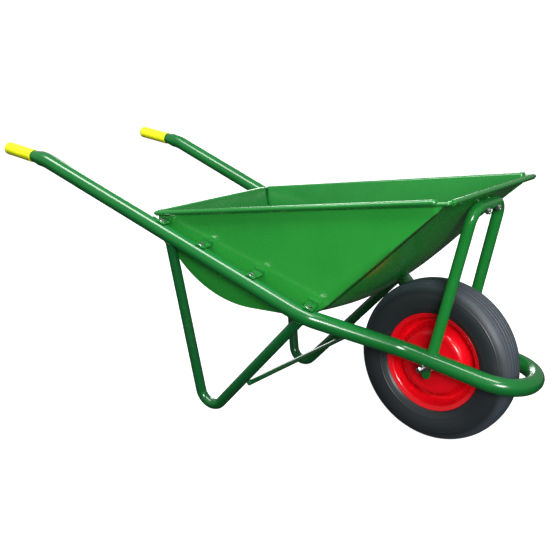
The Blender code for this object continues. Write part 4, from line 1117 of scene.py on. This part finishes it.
# %% Inner tube and valve
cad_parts["inner_tube"].material_slots[0].material = BUTYL_BLACK
VALVE_ANGLE = math.radians(200)
radial = FORWARD * math.cos(VALVE_ANGLE) - UP * math.sin(VALVE_ANGLE)
valve_way = unit(ACROSS - radial)
valve_root = AXLE + (FLANGE_RADIUS + 0.0009) * radial
boot = turned([(0.0, -0.003), (0.0040, -0.003), (0.0040, 0.0225), (0.0037, 0.0235), (0.0, 0.0235)],
              valve_root, valve_way, steps=32, closed=False)
thread = threaded_rod(valve_root, valve_way, 0.0230, 0.0360, 0.0037, 0.0008, [(0.0240, 0.0355)])
tip = threaded_rod(valve_root, valve_way, 0.0355, 0.0440, 0.0026, 0.0008, [(0.0365, 0.0435)])
add_piece("tyre_valve", together([boot, thread, tip]), BRASS, "valve_brass", body="wheel",
          nodes=("valve_stem",))

CAP_RIBS = 14
CAP_RIB = 0.0002
cap_outline = np.array([[0.0030, 0.0363], [0.0041, 0.0363], [0.0041, 0.0366], [0.0041, 0.0440],
                        [0.0038, 0.0455], [0.0032, 0.0465], [0.0022, 0.0470], [0.0, 0.0470],
                        [0.0, 0.0445], [0.0030, 0.0445]])
angle = full_turn(CAP_RIBS * 6)
ribbed = np.array([0, 0, 1, 1, 0.5, 0, 0, 0, 0, 0])
reach = cap_outline[:, :1] + CAP_RIB * ribbed[:, None] * np.cos(CAP_RIBS * angle)[None]
first = unit(np.cross(valve_way, UP))
ring = on_circle(angle, first, np.cross(valve_way, first))
cap_grid = valve_root + cap_outline[:, 1, None, None] * valve_way + reach[..., None] * ring
add_piece("valve_dust_cap", skin(cap_grid, round_rows=True, round_columns=True), CAP_BLACK, "cap_plastic",
          body="wheel", nodes=("valve_cap",))
print("valve and cap")

# %% [markdown]
# ## The studio
#
# A pale floor, a pale room all round and three large soft lamps. A glossy tube shows what is around it,
# so the lamps' places are chosen for the streaks that they leave on the paint.

# %% Floor
# The floor runs flat and then curves up into a wall all round: height grows as the fourth power of
# the distance. Neither diffuse nor glossy rays see it, so the barrow's undersides stay dark.
FLOOR_REACH = 14.0
WALL_HEIGHT = 9.0
FLAT_SHARE = 0.35
PAPER_GLOW = 0.92
spread = np.linspace(-1.0, 1.0, 81)
across_floor, along_floor = np.meshgrid(spread, spread)
distance = np.maximum(np.abs(across_floor), np.abs(along_floor))
floor_grid = np.stack([across_floor * FLOOR_REACH, along_floor * FLOOR_REACH,
                       WALL_HEIGHT * np.maximum(distance - FLAT_SHARE, 0.0) ** 4 / (1 - FLAT_SHARE) ** 4],
                      axis=-1)
floor_points, floor_faces = skin(floor_grid)
floor_mesh = bpy.data.meshes.new("studio_floor")
floor_mesh.from_pydata(floor_points.tolist(), [], floor_faces.tolist())
floor_mesh.shade_smooth()
paper, _, _ = new_finish("studio_paper", (0.5, 0.5, 0.5), Roughness=0.9, Specular_IOR_Level=0.0,
                         Emission_Color=(1.0, 1.0, 1.0, 1.0), Emission_Strength=PAPER_GLOW)
floor_mesh.materials.append(paper)
floor = bpy.data.objects.new("studio_floor", floor_mesh)
bpy.context.scene.collection.objects.link(floor)
floor.visible_diffuse = False
floor.visible_glossy = False
floor.visible_shadow = False
print(f"floor {2 * FLOOR_REACH:.0f} m across")

# %% Room
ROOM_ABOVE = 0.28
ROOM_BELOW = 0.03
room = bpy.data.worlds.new("studio_room")
room.use_nodes = True
way = add_node(room.node_tree, "ShaderNodeTexCoord", output=0)
height = add_node(room.node_tree, "ShaderNodeSeparateXYZ", {}, {"Vector": way}, output=2)
brightness = ROOM_BELOW + (ROOM_ABOVE - ROOM_BELOW) * height.clear_of(-0.10, 0.02)
drive(room.node_tree, room.node_tree.nodes["Background"], Strength=brightness)
room.node_tree.nodes["Background"].inputs["Color"].default_value = opaque((0.98, 0.99, 1.0))
bpy.context.scene.world = room
print(f"room brightness {ROOM_ABOVE} above and {ROOM_BELOW} below")


# %% Lamps


def soft_lamp(name, place, target, width, height, watts):
    """A rectangular lamp at a place, facing a target: its own -Z looks along the line between them."""
    lamp = bpy.data.lights.new(name, "AREA")
    lamp.shape = "RECTANGLE"
    lamp.size, lamp.size_y, lamp.energy = width, height, watts
    stand = bpy.data.objects.new(name, lamp)
    stand.location = place
    stand.rotation_euler = (Vector(target) - Vector(place)).to_track_quat("-Z", "Y").to_euler()
    bpy.context.scene.collection.objects.link(stand)


CENTRE = (0.0, 0.0, 0.3)
soft_lamp("key_lamp", (2.3, -2.3, 1.4), CENTRE, 1.2, 0.9, 85)
soft_lamp("top_lamp", (0.0, -0.9, 2.3), CENTRE, 3.0, 0.60, 72)
soft_lamp("back_lamp", (-1.6, 2.6, 1.8), CENTRE, 1.8, 1.2, 45)
print("3 lamps")

# %% Camera
YAW = math.radians(36.7255)
PITCH = math.radians(15.3912)
CAMERA_PLACE = (1.3087, -1.7388, 0.8934)
SENSOR_WIDTH = 36.0
LENS = 58.207
camera_data = bpy.data.cameras.new("studio_camera")
camera_data.sensor_width = SENSOR_WIDTH
camera_data.lens = LENS
camera = bpy.data.objects.new("studio_camera", camera_data)
right = Vector((math.cos(YAW), math.sin(YAW), 0.0))
back = Vector((math.sin(YAW) * math.cos(PITCH), -math.cos(YAW) * math.cos(PITCH), math.sin(PITCH)))
turn_matrix = Matrix((right, back.cross(right), back)).transposed().to_4x4()
camera.matrix_world = Matrix.Translation(CAMERA_PLACE) @ turn_matrix
bpy.context.scene.collection.objects.link(camera)
bpy.context.scene.camera = camera
bpy.context.scene.view_settings.view_transform = "Standard"
print(f"camera at {CAMERA_PLACE}, lens {LENS} mm")
